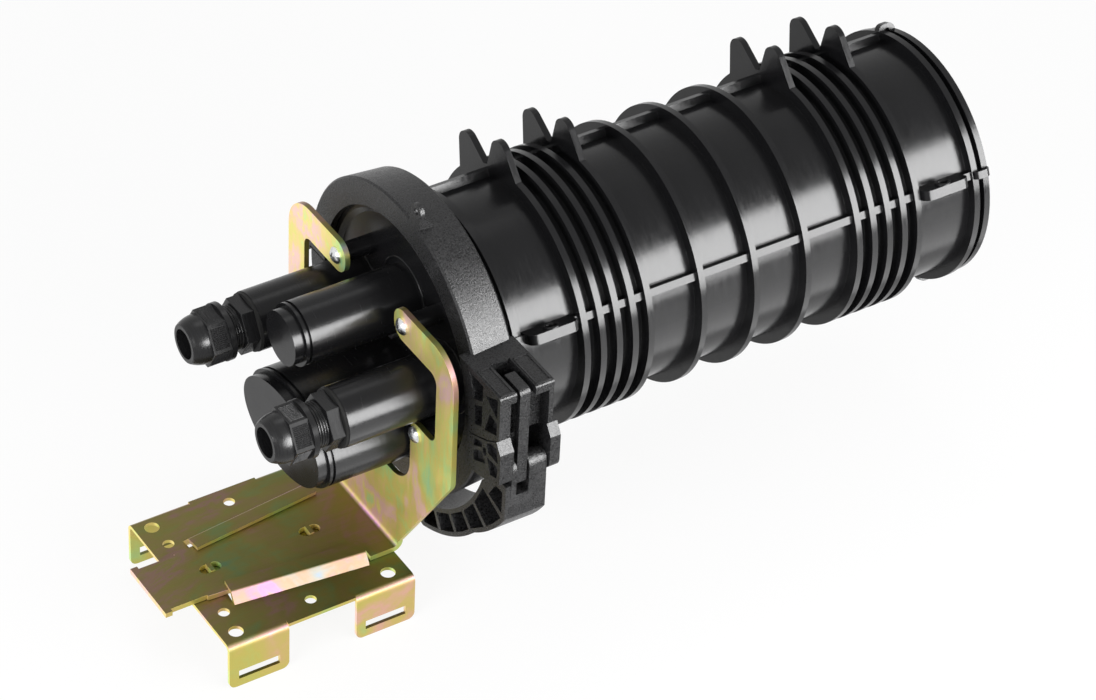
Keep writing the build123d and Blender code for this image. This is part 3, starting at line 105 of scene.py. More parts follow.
def pick(obj):
    """Makes obj the only selected and the active object."""
    clear_selection()
    obj.select_set(True)
    bpy.context.view_layer.objects.active = obj


def edit(obj, kind="FACE"):
    """Opens obj in edit mode with everything selected."""
    pick(obj)
    bpy.ops.object.mode_set(mode="EDIT")
    bpy.ops.mesh.select_mode(type=kind)
    bpy.ops.mesh.select_all(action="SELECT")


def leave_edit():
    """Goes back from edit mode to object mode."""
    bpy.ops.object.mode_set(mode="OBJECT")


def apply_all(obj):
    """Applies every modifier of obj in order."""
    pick(obj)
    for modifier in list(obj.modifiers):
        bpy.ops.object.modifier_apply(modifier=modifier.name)


def settle(obj):
    """Moves an object's place, turn and size into its mesh."""
    pick(obj)
    bpy.ops.object.transform_apply(location=True, rotation=True, scale=True)


def triangles(obj):
    """How many triangles the faces of obj come to."""
    return sum(len(face.vertices) - 2 for face in obj.data.polygons)


# %% [markdown]
# A solid's mesh may not be edited, but a copy of it may: its loose triangles are merged into plain faces, and
# a bevel then rounds each edge that turns by more than a set angle. Weighted normals keep the flats flat.
# A face that winds around lattice pockets would fold over itself in the bevel, so such pieces are cut up
# into fresh, well-shaped triangles first.


# %% Rounded copies of solids
MERGE_DISTANCE = 0.00001
FLAT_ANGLE = radians(0.6)
ROUNDED_ANGLE = radians(32)
SMOOTH_ANGLE = radians(28)


def rounded_copy(node, width, cut_up=False):
    """A copy of a solid with every sharp edge rounded; it stands for the solid."""
    source = frame["nodes"][node]
    pick(source)
    bpy.ops.object.duplicate(linked=False)
    piece = bpy.context.active_object
    for key in list(piece.keys()):
        if key.startswith("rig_"):
            del piece[key]
    piece.name = node + "_dressed"
    edit(piece, "VERT")
    bpy.ops.mesh.remove_doubles(threshold=MERGE_DISTANCE)
    bpy.ops.mesh.dissolve_limited(angle_limit=FLAT_ANGLE)
    if cut_up:
        bpy.ops.mesh.quads_convert_to_tris(quad_method="BEAUTY", ngon_method="BEAUTY")
    leave_edit()
    bevel = piece.modifiers.new("rounding", "BEVEL")
    bevel.width = width
    bevel.segments = 2
    bevel.limit_method = "ANGLE"
    bevel.angle_limit = ROUNDED_ANGLE
    bevel.miter_outer = "MITER_ARC"
    bevel.use_clamp_overlap = True
    apply_all(piece)
    bpy.ops.object.shade_smooth_by_angle(angle=SMOOTH_ANGLE)
    weights = piece.modifiers.new("flat faces stay flat", "WEIGHTED_NORMAL")
    weights.keep_sharp = True
    weights.weight = 90
    apply_all(piece)
    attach(piece, source["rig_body"])
    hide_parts(node)
    return piece


# %% [markdown]
# Every finish is a small network of shader nodes. These helpers each add one kind of node and hand back the
# socket to go on from, so that a finish can be read line by line.


# %% Shader helpers
def new_group(name, inputs, outputs):
    """An empty shader group with its sockets: {name: default} in, {name: kind} out."""
    group = bpy.data.node_groups.new(name, "ShaderNodeTree")
    for label, default in inputs.items():
        socket = group.interface.new_socket(label, in_out="INPUT", socket_type="NodeSocketFloat")
        socket.default_value = default
    for label, kind in outputs.items():
        group.interface.new_socket(label, in_out="OUTPUT", socket_type=kind)
    group_in = group.nodes.new("NodeGroupInput")
    group_out = group.nodes.new("NodeGroupOutput")
    return group, group_in, group_out


def add_node(tree, kind, **values):
    """A node of a kind, with its properties and its unlinked inputs set by name."""
    node = tree.nodes.new("ShaderNode" + kind)
    for key, value in values.items():
        if hasattr(node, key):
            setattr(node, key, value)
        else:
            node.inputs[key.replace("_", " ")].default_value = value
    return node


def math_node(tree, operation, first, second):
    """A Math node; each operand is a socket or a number."""
    node = tree.nodes.new("ShaderNodeMath")
    node.operation = operation
    for slot_index, operand in enumerate((first, second)):
        if isinstance(operand, (int, float)):
            node.inputs[slot_index].default_value = operand
        else:
            tree.links.new(operand, node.inputs[slot_index])
    return node.outputs[0]


def ramp_node(tree, factor, stops):
    """A Color Ramp fed by factor; stops are (position, (r, g, b)) or (position, grey)."""
    node = tree.nodes.new("ShaderNodeValToRGB")
    elements = node.color_ramp.elements
    while len(elements) < len(stops):
        elements.new(0.5)
    for element, (place, value) in zip(elements, stops):
        element.position = place
        colour = (value, value, value) if isinstance(value, (int, float)) else value
        element.color = (*colour, 1)
    tree.links.new(factor, node.inputs[0])
    return node.outputs[0]


def object_coordinates(tree, stretch=(1, 1, 1)):
    """Object coordinates through a Mapping node that can stretch the pattern."""
    source = tree.nodes.new("ShaderNodeTexCoord")
    mapping = tree.nodes.new("ShaderNodeMapping")
    mapping.inputs["Scale"].default_value = stretch
    tree.links.new(source.outputs["Object"], mapping.inputs["Vector"])
    return mapping.outputs[0]


def noise_node(tree, vector, scale, detail=3.0, roughness=0.55, distortion=0.0):
    """The grey value of a noise texture."""
    node = add_node(tree, "TexNoise", Scale=scale, Detail=detail, Roughness=roughness, Distortion=distortion)
    tree.links.new(vector, node.inputs["Vector"])
    return node.outputs["Fac"]


# %% [markdown]
# Effects that several finishes share are built once as node groups with named sockets.
# The first is the fine grain that a spark-eroded mould leaves on plastic.

# %% Group: mould grain
grain_group, grain_in, grain_out = new_group(
    "mould grain", {"Coarse": 700.0, "Fine": 2600.0, "Mix": 0.5}, {"Height": "NodeSocketFloat"}
)
grain_place = object_coordinates(grain_group)
coarse = grain_group.nodes.new("ShaderNodeTexNoise")
fine = grain_group.nodes.new("ShaderNodeTexNoise")
for texture, label in ((coarse, "Coarse"), (fine, "Fine")):
    texture.inputs["Detail"].default_value = 2.0
    grain_group.links.new(grain_place, texture.inputs["Vector"])
    grain_group.links.new(grain_in.outputs[label], texture.inputs["Scale"])
blend = grain_group.nodes.new("ShaderNodeMix")
grain_group.links.new(grain_in.outputs["Mix"], blend.inputs["Factor"])
grain_group.links.new(coarse.outputs["Fac"], blend.inputs[2])
grain_group.links.new(fine.outputs["Fac"], blend.inputs[3])
grain_group.links.new(blend.outputs[0], grain_out.inputs["Height"])
print("group ready:", grain_group.name)

# %% [markdown]
# Edges that hands and tools rub turn paler, and the hollows beside them don't.
# Pointiness tells how convex the mesh is at a place; broken up by noise it gives a believable wear mask.

# %% Group: rubbed edges
wear_group, wear_in, wear_out = new_group(
    "rubbed edges", {"Amount": 1.0, "Breakup": 220.0}, {"Mask": "NodeSocketFloat"}
)
shape = wear_group.nodes.new("ShaderNodeNewGeometry")
edge = ramp_node(wear_group, shape.outputs["Pointiness"], [(0.53, 0.0), (0.62, 1.0)])
breakup = wear_group.nodes.new("ShaderNodeTexNoise")
breakup.inputs["Detail"].default_value = 4.0
wear_group.links.new(object_coordinates(wear_group), breakup.inputs["Vector"])
wear_group.links.new(wear_in.outputs["Breakup"], breakup.inputs["Scale"])
patches = ramp_node(wear_group, breakup.outputs["Fac"], [(0.42, 0.0), (0.6, 1.0)])
rubbed = math_node(wear_group, "MULTIPLY", edge, patches)
rubbed = math_node(wear_group, "MULTIPLY", rubbed, wear_in.outputs["Amount"])
wear_group.links.new(rubbed, wear_out.inputs["Mask"])
print("group ready:", wear_group.name)

# %% [markdown]
# Upward faces gather a trace of dust, which shows on black plastic as a slightly paler, duller tone.
# The normal's upward part times a soft noise gives that film.

# %% Group: settled dust
dust_group, dust_in, dust_out = new_group(
    "settled dust", {"Amount": 1.0, "Patch Size": 26.0}, {"Mask": "NodeSocketFloat"}
)
facing = dust_group.nodes.new("ShaderNodeNewGeometry")
split = dust_group.nodes.new("ShaderNodeSeparateXYZ")
dust_group.links.new(facing.outputs["Normal"], split.inputs[0])
upward = ramp_node(dust_group, split.outputs["Z"], [(0.35, 0.0), (1.0, 1.0)])
cloud = dust_group.nodes.new("ShaderNodeTexNoise")
cloud.inputs["Detail"].default_value = 6.0
cloud.inputs["Roughness"].default_value = 0.7
dust_group.links.new(object_coordinates(dust_group), cloud.inputs["Vector"])
dust_group.links.new(dust_in.outputs["Patch Size"], cloud.inputs["Scale"])
film = math_node(dust_group, "MULTIPLY", upward, cloud.outputs["Fac"])
film = math_node(dust_group, "MULTIPLY", film, dust_in.outputs["Amount"])
dust_group.links.new(film, dust_out.inputs["Mask"])
print("group ready:", dust_group.name)


# %% [markdown]
# A finish is one material. This helper starts it, sets the plain numbers on the shader's own sockets,
# and hands back the tree so that the patterns can be wired in.


# %% Starting a material
def start_material(name, **plain):
    """A new material with its Principled shader; plain values go on the shader's sockets."""
    material = bpy.data.materials.new(name)
    material.use_nodes = True
    tree = material.node_tree
    shader = tree.nodes["Principled BSDF"]
    for label, value in plain.items():
        shader.inputs[label.replace("_", " ")].default_value = value
    return material, tree, shader


def use_group(tree, group, **values):
    """The output of a shared group, with some of its inputs set."""
    node = tree.nodes.new("ShaderNodeGroup")
    node.node_tree = group
    for label, value in values.items():
        node.inputs[label.replace("_", " ")].default_value = value
    return node.outputs[0]


def mix_colours(tree, factor, first, second):
    """Mix of two colours; each is a socket or an (r, g, b) tuple."""
    node = tree.nodes.new("ShaderNodeMix")
    node.data_type = "RGBA"
    tree.links.new(factor, node.inputs["Factor"])
    for index, value in ((6, first), (7, second)):
        if isinstance(value, tuple):
            node.inputs[index].default_value = (*value, 1)
        else:
            tree.links.new(value, node.inputs[index])
    return node.outputs[2]


def feed_ramp(tree, shader, label, factor, stops):
    """Sends factor through a ramp into one of the shader's sockets."""
    tree.links.new(ramp_node(tree, factor, stops), shader.inputs[label])


def bump(tree, shader, height, strength, distance):
    """Feeds a height into the shader's normal."""
    node = add_node(tree, "Bump", Strength=strength, Distance=distance)
    tree.links.new(height, node.inputs["Height"])
    tree.links.new(node.outputs[0], shader.inputs["Normal"])


# %% [markdown]
# The dome and the base head are black polypropylene: dark, fairly glossy, with a faint ripple where the
# melt flowed and hair-thin lines around the axis, from the turned mould. The lines vary the gloss and stand
# a little in relief. Glands and seals are made of the same recipe, with other numbers.


# %% Black moulded plastic
def black_plastic(name, base, gloss_low, gloss_high, grain, grain_mix, dust, specular):
    """A black moulded plastic; gloss_low and gloss_high bound its roughness."""
    material, tree, shader = start_material(name, Specular_IOR_Level=specular, IOR=1.49)
    place = object_coordinates(tree)
    flow = noise_node(tree, object_coordinates(tree, (0.25, 1, 1)), 42.0, 5.0, 0.6)
    marks = noise_node(tree, object_coordinates(tree, (9, 1, 1)), 90.0, 6.0, 0.7, 0.4)
    film = use_group(tree, dust_group, Amount=dust)
    worn = use_group(tree, wear_group, Amount=0.1)
    tone = mix_colours(tree, flow, base, tuple(1.4 * c for c in base))
    tone = mix_colours(tree, film, tone, (0.09, 0.088, 0.082))
    tone = mix_colours(tree, worn, tone, (0.05, 0.05, 0.052))
    tree.links.new(tone, shader.inputs["Base Color"])
    gloss = ramp_node(tree, marks, [(0.35, gloss_low), (0.68, gloss_high)])
    gloss = math_node(tree, "ADD", gloss, math_node(tree, "MULTIPLY", film, 0.35))
    tree.links.new(gloss, shader.inputs["Roughness"])
    height = use_group(tree, grain_group, Mix=grain_mix)
    ripple = math_node(tree, "ADD", math_node(tree, "MULTIPLY", height, grain), flow)
    ripple = math_node(tree, "ADD", ripple, math_node(tree, "MULTIPLY", marks, 0.35))
    bump(tree, shader, ripple, 0.35, 0.00035)
    return material


shell_black = black_plastic("moulded shell black", (0.006, 0.006, 0.0066), 0.16, 0.27, 0.1, 0.6, 0.02, 0.17)
head_black = black_plastic("base head black", (0.006, 0.006, 0.0066), 0.19, 0.28, 0.18, 0.5, 0.02, 0.18)
gland_black = black_plastic("gland polyamide black", (0.008, 0.008, 0.0085), 0.22, 0.34, 0.45, 0.4, 0.03, 0.24)
rubber_black = black_plastic("seal rubber", (0.012, 0.012, 0.012), 0.6, 0.8, 0.5, 0.5, 0.1, 0.2)
print("blacks ready")

# %% [markdown]
# The clamp is glass-filled and comes out of a textured mould: dull, slightly grey and visibly grainy.
# The grain is strong enough to break up the highlight along the ring.

# %% Grained clamp plastic
clamp_grey, tree, shader = start_material("clamp ring, grained", Specular_IOR_Level=0.22, IOR=1.5)
pebble = use_group(tree, grain_group, Coarse=1100.0, Fine=2900.0, Mix=0.45)
worn = use_group(tree, wear_group, Amount=0.2)
film = use_group(tree, dust_group, Amount=0.04)
speckle = ramp_node(tree, pebble, [(0.42, (0.004, 0.004, 0.0045)), (0.62, (0.022, 0.022, 0.023))])
tone = mix_colours(tree, worn, speckle, (0.08, 0.08, 0.082))
tone = mix_colours(tree, film, tone, (0.12, 0.118, 0.11))
tree.links.new(tone, shader.inputs["Base Color"])
feed_ramp(tree, shader, "Roughness", pebble, [(0.38, 0.2), (0.62, 0.46)])
bump(tree, shader, pebble, 0.7, 0.0005)
print("clamp grey ready")

# %% [markdown]
# Yellow passivation on zinc is a film thin enough to show interference colours: gold, olive, pink and
# green drift into each other in clouds. Light and shade are also painted into the colour, by the way a face
# points: faces that lie flat get a painted dark olive shade, bends and slopes a painted pink highlight,
# upright faces a painted pale yellow light, which is palest on the faces across the sheet's length.
# The sheet under it keeps its rolling lines, so the gloss is a little stretched along them.


# %% Yellow passivated zinc
def zinc_cloud(tree):
    """Thickness of the passivation film, which drifts over the sheet, and its finest part."""
    place = object_coordinates(tree, (1.0, 1.25, 0.8))
    big = noise_node(tree, place, 9.0, 4.0, 0.6, 1.6)
    small = noise_node(tree, place, 55.0, 6.0, 0.65, 0.8)
    streak = noise_node(tree, object_coordinates(tree, (0.35, 3.2, 0.35)), 60.0, 5.0, 0.6)
    drift = math_node(tree, "MULTIPLY", big, 0.72)
    for share, weight in ((small, 0.16), (streak, 0.2)):
        drift = math_node(tree, "ADD", drift, math_node(tree, "MULTIPLY", share, weight))
    return math_node(tree, "ADD", drift, -0.04), small


zinc_yellow, tree, shader = start_material("zinc sheet, yellow passivated", Metallic=0.8, Anisotropic=0.25)
drift, small = zinc_cloud(tree)
cloud_tint = ramp_node(
    tree,
    drift,
    [
        (0.34, (0.50, 1.12, 1.50)),
        (0.41, (0.82, 1.12, 0.90)),
        (0.47, (1.02, 1.00, 0.62)),
        (0.52, (1.10, 0.94, 0.85)),
        (0.57, (1.26, 0.84, 1.60)),
        (0.62, (1.06, 1.02, 0.72)),
        (0.70, (0.62, 1.14, 1.25)),
    ],
)
# Painted light and shade: the colour follows the face's normal, with a dark olive shade on flat tops, a pink
# highlight on slopes and bends, and pale yellow light on upright faces.
lie = tree.nodes.new("ShaderNodeNewGeometry")
upward = tree.nodes.new("ShaderNodeSeparateXYZ")
tree.links.new(lie.outputs["Normal"], upward.inputs[0])
painted_light_by_facing = ramp_node(
    tree,
    upward.outputs["Z"],
    [
        (0.00, (0.52, 0.46, 0.18)),
        (0.40, (0.56, 0.45, 0.22)),
        (0.66, (0.52, 0.36, 0.39)),
        (0.80, (0.46, 0.32, 0.33)),
        (0.90, (0.28, 0.235, 0.14)),
        (0.97, (0.135, 0.122, 0.048)),
    ],
)
# Painted light: upright faces that look across the sheet's length are mixed towards a pale yellow.
across = math_node(tree, "ABSOLUTE", upward.outputs["X"], 0.0)
painted_light_by_facing = mix_colours(tree, ramp_node(tree, across, [(0.6, 0.0), (0.95, 1.0)]), painted_light_by_facing, (0.92, 0.85, 0.42))
film_and_painted_light = tree.nodes.new("ShaderNodeMix")
film_and_painted_light.data_type = "RGBA"
film_and_painted_light.blend_type = "MULTIPLY"
film_and_painted_light.inputs["Factor"].default_value = 1.0
tree.links.new(painted_light_by_facing, film_and_painted_light.inputs[6])
tree.links.new(cloud_tint, film_and_painted_light.inputs[7])
tree.links.new(film_and_painted_light.outputs[2], shader.inputs["Base Color"])
feed_ramp(tree, shader, "Roughness", small, [(0.3, 0.4), (0.7, 0.52)])
lines = noise_node(tree, object_coordinates(tree, (0.08, 2.2, 2.2)), 900.0, 3.0, 0.6)
bump(tree, shader, lines, 0.3, 0.00015)
print("zinc yellow ready")

# %% [markdown]
# Screws and pins are plain steel: bright zinc on the screws, turned stainless on the pins. The frame inside
# is bare aluminium sheet.


# %% Bright metals
def bright_metal(name, low, high, roughness):
    """A bare metal whose colour wanders between low and high."""
    material, tree, shader = start_material(name, Metallic=1.0)
    stain = noise_node(tree, object_coordinates(tree), 240.0, 5.0, 0.6)
    feed_ramp(tree, shader, "Base Color", stain, [(0.35, low), (0.65, high)])
    feed_ramp(tree, shader, "Roughness", stain, [(0.3, roughness), (0.7, roughness + 0.14)])
    turning = noise_node(tree, object_coordinates(tree, (30, 1, 1)), 120.0, 2.0)
    bump(tree, shader, turning, 0.12, 0.0001)
    return material


screw_zinc = bright_metal("screw zinc", (0.58, 0.59, 0.60), (0.80, 0.81, 0.83), 0.2)
pin_steel = bright_metal("pin stainless", (0.45, 0.45, 0.46), (0.66, 0.66, 0.67), 0.28)
sheet_alu = bright_metal("inner frame aluminium", (0.62, 0.63, 0.65), (0.78, 0.79, 0.80), 0.34)
print("metals ready")

# %% [markdown]
# Inside the dome lie light grey trays, blue splice holders and a clear cover. They are hidden at rest,
# but each still gets its own finish, because the pieces are also used apart.


# %% Tray plastics
def tray_plastic(name, low, high, roughness):
    """A smooth coloured plastic whose colour wanders between low and high."""
    material, tree, shader = start_material(name, IOR=1.5)
    cloud = noise_node(tree, object_coordinates(tree), 60.0, 5.0)
    feed_ramp(tree, shader, "Base Color", cloud, [(0.35, low), (0.65, high)])
    feed_ramp(tree, shader, "Roughness", cloud, [(0.3, roughness), (0.7, roughness + 0.1)])
    bump(tree, shader, use_group(tree, grain_group, Mix=0.5), 0.2, 0.0002)
    return material


tray_grey = tray_plastic("tray grey", (0.66, 0.67, 0.65), (0.74, 0.75, 0.72), 0.38)
holder_blue = tray_plastic("holder blue", (0.02, 0.09, 0.28), (0.03, 0.13, 0.36), 0.35)

clear_cover, tree, shader = start_material(
    "clear cover", Base_Color=(0.9, 0.94, 0.95, 1), IOR=1.58, Transmission_Weight=1.0, Metallic=0.0
)
haze = noise_node(tree, object_coordinates(tree), 40.0, 4.0)
feed_ramp(tree, shader, "Roughness", haze, [(0.3, 0.03), (0.7, 0.09)])
print("tray plastics ready")

# %% [markdown]
# Nodes whose shape is already right keep their mesh and only get a finish.


# %% Finish of the plain nodes
def paint(obj, material):
    """One material over the whole object."""
    obj.data.materials.clear()
    obj.data.materials.append(material)


plain_nodes = [
    (rubber_black, ["head_seal", "gland_a_washer", "gland_b_washer", "gland_a_seal", "gland_b_seal"]),
    (pin_steel, ["clamp_hinge_pin", "latch_pivot_pins", "latch_link_pin", "earth_stud", "earth_nut"]),
    (pin_steel, ["frame_screw_1", "frame_screw_2", "clamp_screw_a", "clamp_screw_b"]),
    (sheet_alu, ["inner_frame"]),
    (tray_grey, ["tray_tower", "splice_tray_1", "splice_tray_2", "splice_tray_3"]),
    (holder_blue, ["splice_holder_1", "splice_holder_2", "splice_holder_3"]),
    (holder_blue, ["strength_clamp_a", "strength_clamp_b"]),
    (clear_cover, ["tray_cover"]),
]
for material, nodes in plain_nodes:
    for node in nodes:
        paint(frame["nodes"][node], material)
    print(material.name, "on", ", ".join(nodes))

# %% [markdown]
# The moulded and bent pieces are shown by their rounded copies. Each row gives the width of the round in
# metres. Two collections note on the way which pieces the two gloss lamps of the stage will shine on.

# %% Rounded pieces
rounded = [
    ("dome", 0.0004, "shell", shell_black),
    ("base_head", 0.0005, "shell", head_black),
    ("clamp_upper", 0.0005, "clamp", clamp_grey),
    ("clamp_lower", 0.0005, "clamp", clamp_grey),
    ("latch_lever", 0.0005, "clamp", clamp_grey),
    ("latch_link", 0.0005, "clamp", clamp_grey),
    ("gland_a_body", 0.0004, "gland", gland_black),
    ("gland_b_body", 0.0004, "gland", gland_black),
    ("gland_a_nut", 0.0005, "gland", gland_black),
    ("gland_b_nut", 0.0005, "gland", gland_black),
    ("mounting_plate", 0.0002, "zinc_sheet", zinc_yellow),
    ("bracket", 0.0003, "zinc_sheet", zinc_yellow),
    ("bracket_screw_1", 0.0002, "bright_zinc", screw_zinc),
    ("bracket_screw_2", 0.0002, "bright_zinc", screw_zinc),
    ("bracket_screw_3", 0.0002, "bright_zinc", screw_zinc),
    ("bracket_screw_4", 0.0002, "bright_zinc", screw_zinc),
]
card_lit = bpy.data.collections.new("pieces the floor card shines on")
strip_lit = bpy.data.collections.new("pieces the gloss strip shines on")
for node, width, slot_name, material in rounded:
    piece = rounded_copy(node, width, cut_up=slot_name == "clamp")
    paint(piece, material)
    if material in (shell_black, head_black):
        card_lit.objects.link(piece)
    if material in (shell_black, head_black, clamp_grey):
        strip_lit.objects.link(piece)
    print(piece.name, triangles(piece), "triangles")

# %% [markdown]
# The pieces that follow are added to the solids. Many of them are made in parts, joined into one object, and
# each then gets its name, its finish and the body that it rides on.


# %% Finishing an added piece
def joined(pieces):
    """One object out of many."""
    clear_selection()
    for piece in pieces:
        piece.select_set(True)
    bpy.context.view_layer.objects.active = pieces[0]
    bpy.ops.object.join()
    whole = bpy.context.active_object
    settle(whole)
    return whole


def add_piece(piece, name, node, material):
    """Names and paints an added piece, which rides on a node's body and is lit by the strip."""
    piece.name = name
    paint(piece, material)
    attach(piece, frame["nodes"][node]["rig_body"])
    strip_lit.objects.link(piece)
    print(piece.name, triangles(piece), "triangles")


# %% [markdown]
# A cap nut is turned by hand, so its six flats carry fine ribs along the axis. A rib is a bar turned by
# 45 degrees, so that only its ridge stands out. One field of ribs is made over the gland with an Array
# modifier, and the same is done for each of the six flats, turned about the gland's axis.


# %% Grip ribs on the cap nuts
FLAT_RADIUS = 0.0135
HEX_FROM_REAR = 0.0030
HEX_LENGTH = 0.0104
RIBS_PER_FLAT = 12
RIB_PITCH = 0.001
RIB_SIZE = 0.0006
RIB_END_GAPS = 0.0022
glands = [("a", GLAND_Y), ("b", -GLAND_Y)]


def grip_ribs(node, axis_y):
    """Thin ribs on each flat of a cap nut."""
    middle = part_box(node)[1].x - HEX_FROM_REAR - HEX_LENGTH / 2
    first_y = axis_y - (RIBS_PER_FLAT - 1) / 2 * RIB_PITCH
    fields = []
    for turn_number in range(6):
        clear_selection()
        bpy.ops.mesh.primitive_cube_add(size=1, location=(middle, first_y, GLAND_Z + FLAT_RADIUS))
        field = bpy.context.active_object
        field.scale = (HEX_LENGTH - RIB_END_GAPS, RIB_SIZE, RIB_SIZE)
        field.rotation_euler = (radians(45), 0, 0)
        settle(field)
        array = field.modifiers.new("ribs side by side", "ARRAY")
        array.count = RIBS_PER_FLAT
        array.use_relative_offset = False
        array.use_constant_offset = True
        array.constant_offset_displace = (0, RIB_PITCH, 0)
        apply_all(field)
        bpy.ops.transform.rotate(
            value=radians(60 * turn_number), orient_axis="X", center_override=(middle, axis_y, GLAND_Z)
        )
        fields.append(field)
    add_piece(joined(fields), node + "_grip_ribs", node, gland_black)


for letter, axis_y in glands:
    grip_ribs(f"gland_{letter}_nut", axis_y)

# %% [markdown]
# The nose of a cap nut is turned like a ball, and the rubber bush lies behind its mouth. A stretched sphere
# is cut square at the hexagon and at the mouth, and a Boolean opens the bore.


# %% Round noses of the cap nuts
NOSE_REACH = 0.0156
NOSE_SKIN = 0.00005
NOSE_BORE = 0.0082
ROOT_OVERLAP = 0.0003
MOUTH_INSET = 0.00004
DRILL_LENGTH = 0.03


def round_nose(node, axis_y):
    """The ball-shaped front of a cap nut, with its bore open."""
    low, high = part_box(node)
    root = high.x - HEX_FROM_REAR - HEX_LENGTH + ROOT_OVERLAP
    clear_selection()
    bpy.ops.mesh.primitive_uv_sphere_add(
        segments=96, ring_count=64, radius=1, location=(root, axis_y, GLAND_Z), rotation=(0, pi / 2, 0)
    )
    nose = bpy.context.active_object
    nose.scale = (FLAT_RADIUS - NOSE_SKIN, FLAT_RADIUS - NOSE_SKIN, NOSE_REACH)
    settle(nose)
    edit(nose)
    mouth_place = (low.x + MOUTH_INSET, axis_y, GLAND_Z)
    root_place = (root, axis_y, GLAND_Z)
    bpy.ops.mesh.bisect(plane_co=mouth_place, plane_no=(1, 0, 0), use_fill=True, clear_inner=True)
    bpy.ops.mesh.select_all(action="SELECT")
    bpy.ops.mesh.bisect(plane_co=root_place, plane_no=(1, 0, 0), use_fill=True, clear_outer=True)
    leave_edit()
    bpy.ops.mesh.primitive_cylinder_add(
        vertices=96,
        radius=NOSE_BORE,
        depth=DRILL_LENGTH,
        location=(root - 0.005, axis_y, GLAND_Z),
        rotation=(0, pi / 2, 0),
    )
    drill = bpy.context.active_object
    settle(drill)
    bore = nose.modifiers.new("bore", "BOOLEAN")
    bore.operation = "DIFFERENCE"
    bore.solver = "EXACT"
    bore.object = drill
    apply_all(nose)
    bpy.data.objects.remove(drill)
    soften = nose.modifiers.new("mouth round", "BEVEL")
    soften.width = 0.0010
    soften.segments = 4
    soften.limit_method = "ANGLE"
    soften.angle_limit = radians(40)
    apply_all(nose)
    bpy.ops.object.shade_smooth_by_angle(angle=radians(35))
    add_piece(nose, node + "_nose", node, gland_black)


for letter, axis_y in glands:
    round_nose(f"gland_{letter}_nut", axis_y)

# %% [markdown]
# Between the body's hexagon and the cap nut a few turns of thread stay bare. Each turn is a torus here:
# at this pitch the slope of a real thread can't be seen.


# %% Bare thread
THREAD_RADIUS = 0.01178
CREST_RADIUS = 0.00052
THREAD_PITCH = 0.0015
bare_turns = {"a": 4, "b": 5}


def ring(x, y, z, major, minor, major_segments, minor_segments, tilt=(0, pi / 2, 0)):
    """A torus whose axis runs along the closure, or is tilted otherwise."""
    clear_selection()
    bpy.ops.mesh.primitive_torus_add(
        major_segments=major_segments,
        minor_segments=minor_segments,
        major_radius=major,
        minor_radius=minor,
        location=(x, y, z),
        rotation=tilt,
    )
    torus = bpy.context.active_object
    bpy.ops.object.shade_smooth()
    settle(torus)
    return torus


for letter, axis_y in glands:
    first_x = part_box(f"gland_{letter}_nut")[1].x + THREAD_PITCH / 2
    crests = [
        ring(first_x + THREAD_PITCH * number, axis_y, GLAND_Z, THREAD_RADIUS, CREST_RADIUS, 72, 10)
        for number in range(bare_turns[letter])
    ]
    body = f"gland_{letter}_body"
    add_piece(joined(crests), body + "_thread", body, gland_black)

# %% [markdown]
# Where a port leaves the head's face, the mould leaves a low round bead. A torus half sunk in the face
# shows it.

# %% Beads at the port roots
HEAD_FACE_X = 0.079
BEAD_GAP = 0.0034
BEAD_RADIUS = 0.0008
GLAND_PORT_RADIUS = 0.0164
BLANK_PORT_RADIUS = 0.0170
BLANK_PORT_Z = AXIS_Z + 0.0252
port_roots = [(axis_y, GLAND_Z, GLAND_PORT_RADIUS) for letter, axis_y in glands]
port_roots.append((0, BLANK_PORT_Z, BLANK_PORT_RADIUS))
beads = [ring(HEAD_FACE_X, y, z, radius + BEAD_GAP, BEAD_RADIUS, 96, 12) for y, z, radius in port_roots]
add_piece(joined(beads), "port_root_beads", "base_head", head_black)

# %% [markdown]
# The upper clamp ear carries a thin raised outline on the land at either side of its notch. Four bars make
# one outline, and each lies half sunk in the ear's top.

# %% Outlines on the clamp's ear
EAR_TOP = AXIS_Z + 0.0415
BAR_WIDTH = 0.0008
BAR_HEIGHT = 0.0010
land_y = (-0.1095, -0.0875)
middle_y = sum(land_y) / 2
bars = []
for land_x in ((0.0688, 0.0757), (0.0893, 0.0974)):
    middle_x = sum(land_x) / 2
    places = [(x, middle_y, BAR_WIDTH, land_y[1] - land_y[0]) for x in land_x]
    places += [(middle_x, y, land_x[1] - land_x[0] + BAR_WIDTH, BAR_WIDTH) for y in land_y]
    for x, y, length, depth in places:
        clear_selection()
        bpy.ops.mesh.primitive_cube_add(size=1, location=(x, y, EAR_TOP))
        bar = bpy.context.active_object
        bar.scale = (length, depth, BAR_HEIGHT)
        settle(bar)
        bars.append(bar)
add_piece(joined(bars), "ear_outlines", "clamp_upper", clamp_grey)

# %% [markdown]
# Each flat ear of the dome has a raised eye round its hole, on both faces. The ears lie in the plane of the
# long ridge, 66 degrees from the top, so each eye's place is turned by that much about the closure's axis.

# %% Eyes of the dome's ears
RIDGE_TURN = radians(66)
HOLE_FROM_AXIS = 0.07264
EAR_HALF = 0.0027
EYE_RADIUS = 0.0037
EYE_ROUND = 0.0009
ear_middles = (0.1258, 0.3701)
eyes = []
for ear_middle in ear_middles:
    for turn in (RIDGE_TURN, RIDGE_TURN - pi):
        for face in (-EAR_HALF, EAR_HALF):
            y = face * cos(turn) - HOLE_FROM_AXIS * sin(turn)
            z = AXIS_Z + face * sin(turn) + HOLE_FROM_AXIS * cos(turn)
            eyes.append(ring(ear_middle, y, z, EYE_RADIUS, EYE_ROUND, 48, 10, (pi / 2 + turn, 0, 0)))
add_piece(joined(eyes), "ear_eyes", "dome", shell_black)

# %% [markdown]
# The stage is a pale floor under the tabs. What a camera, a gloss or a clear piece sees of it is nearly
# white, and the matt faces get only the light that the real floor would send back.


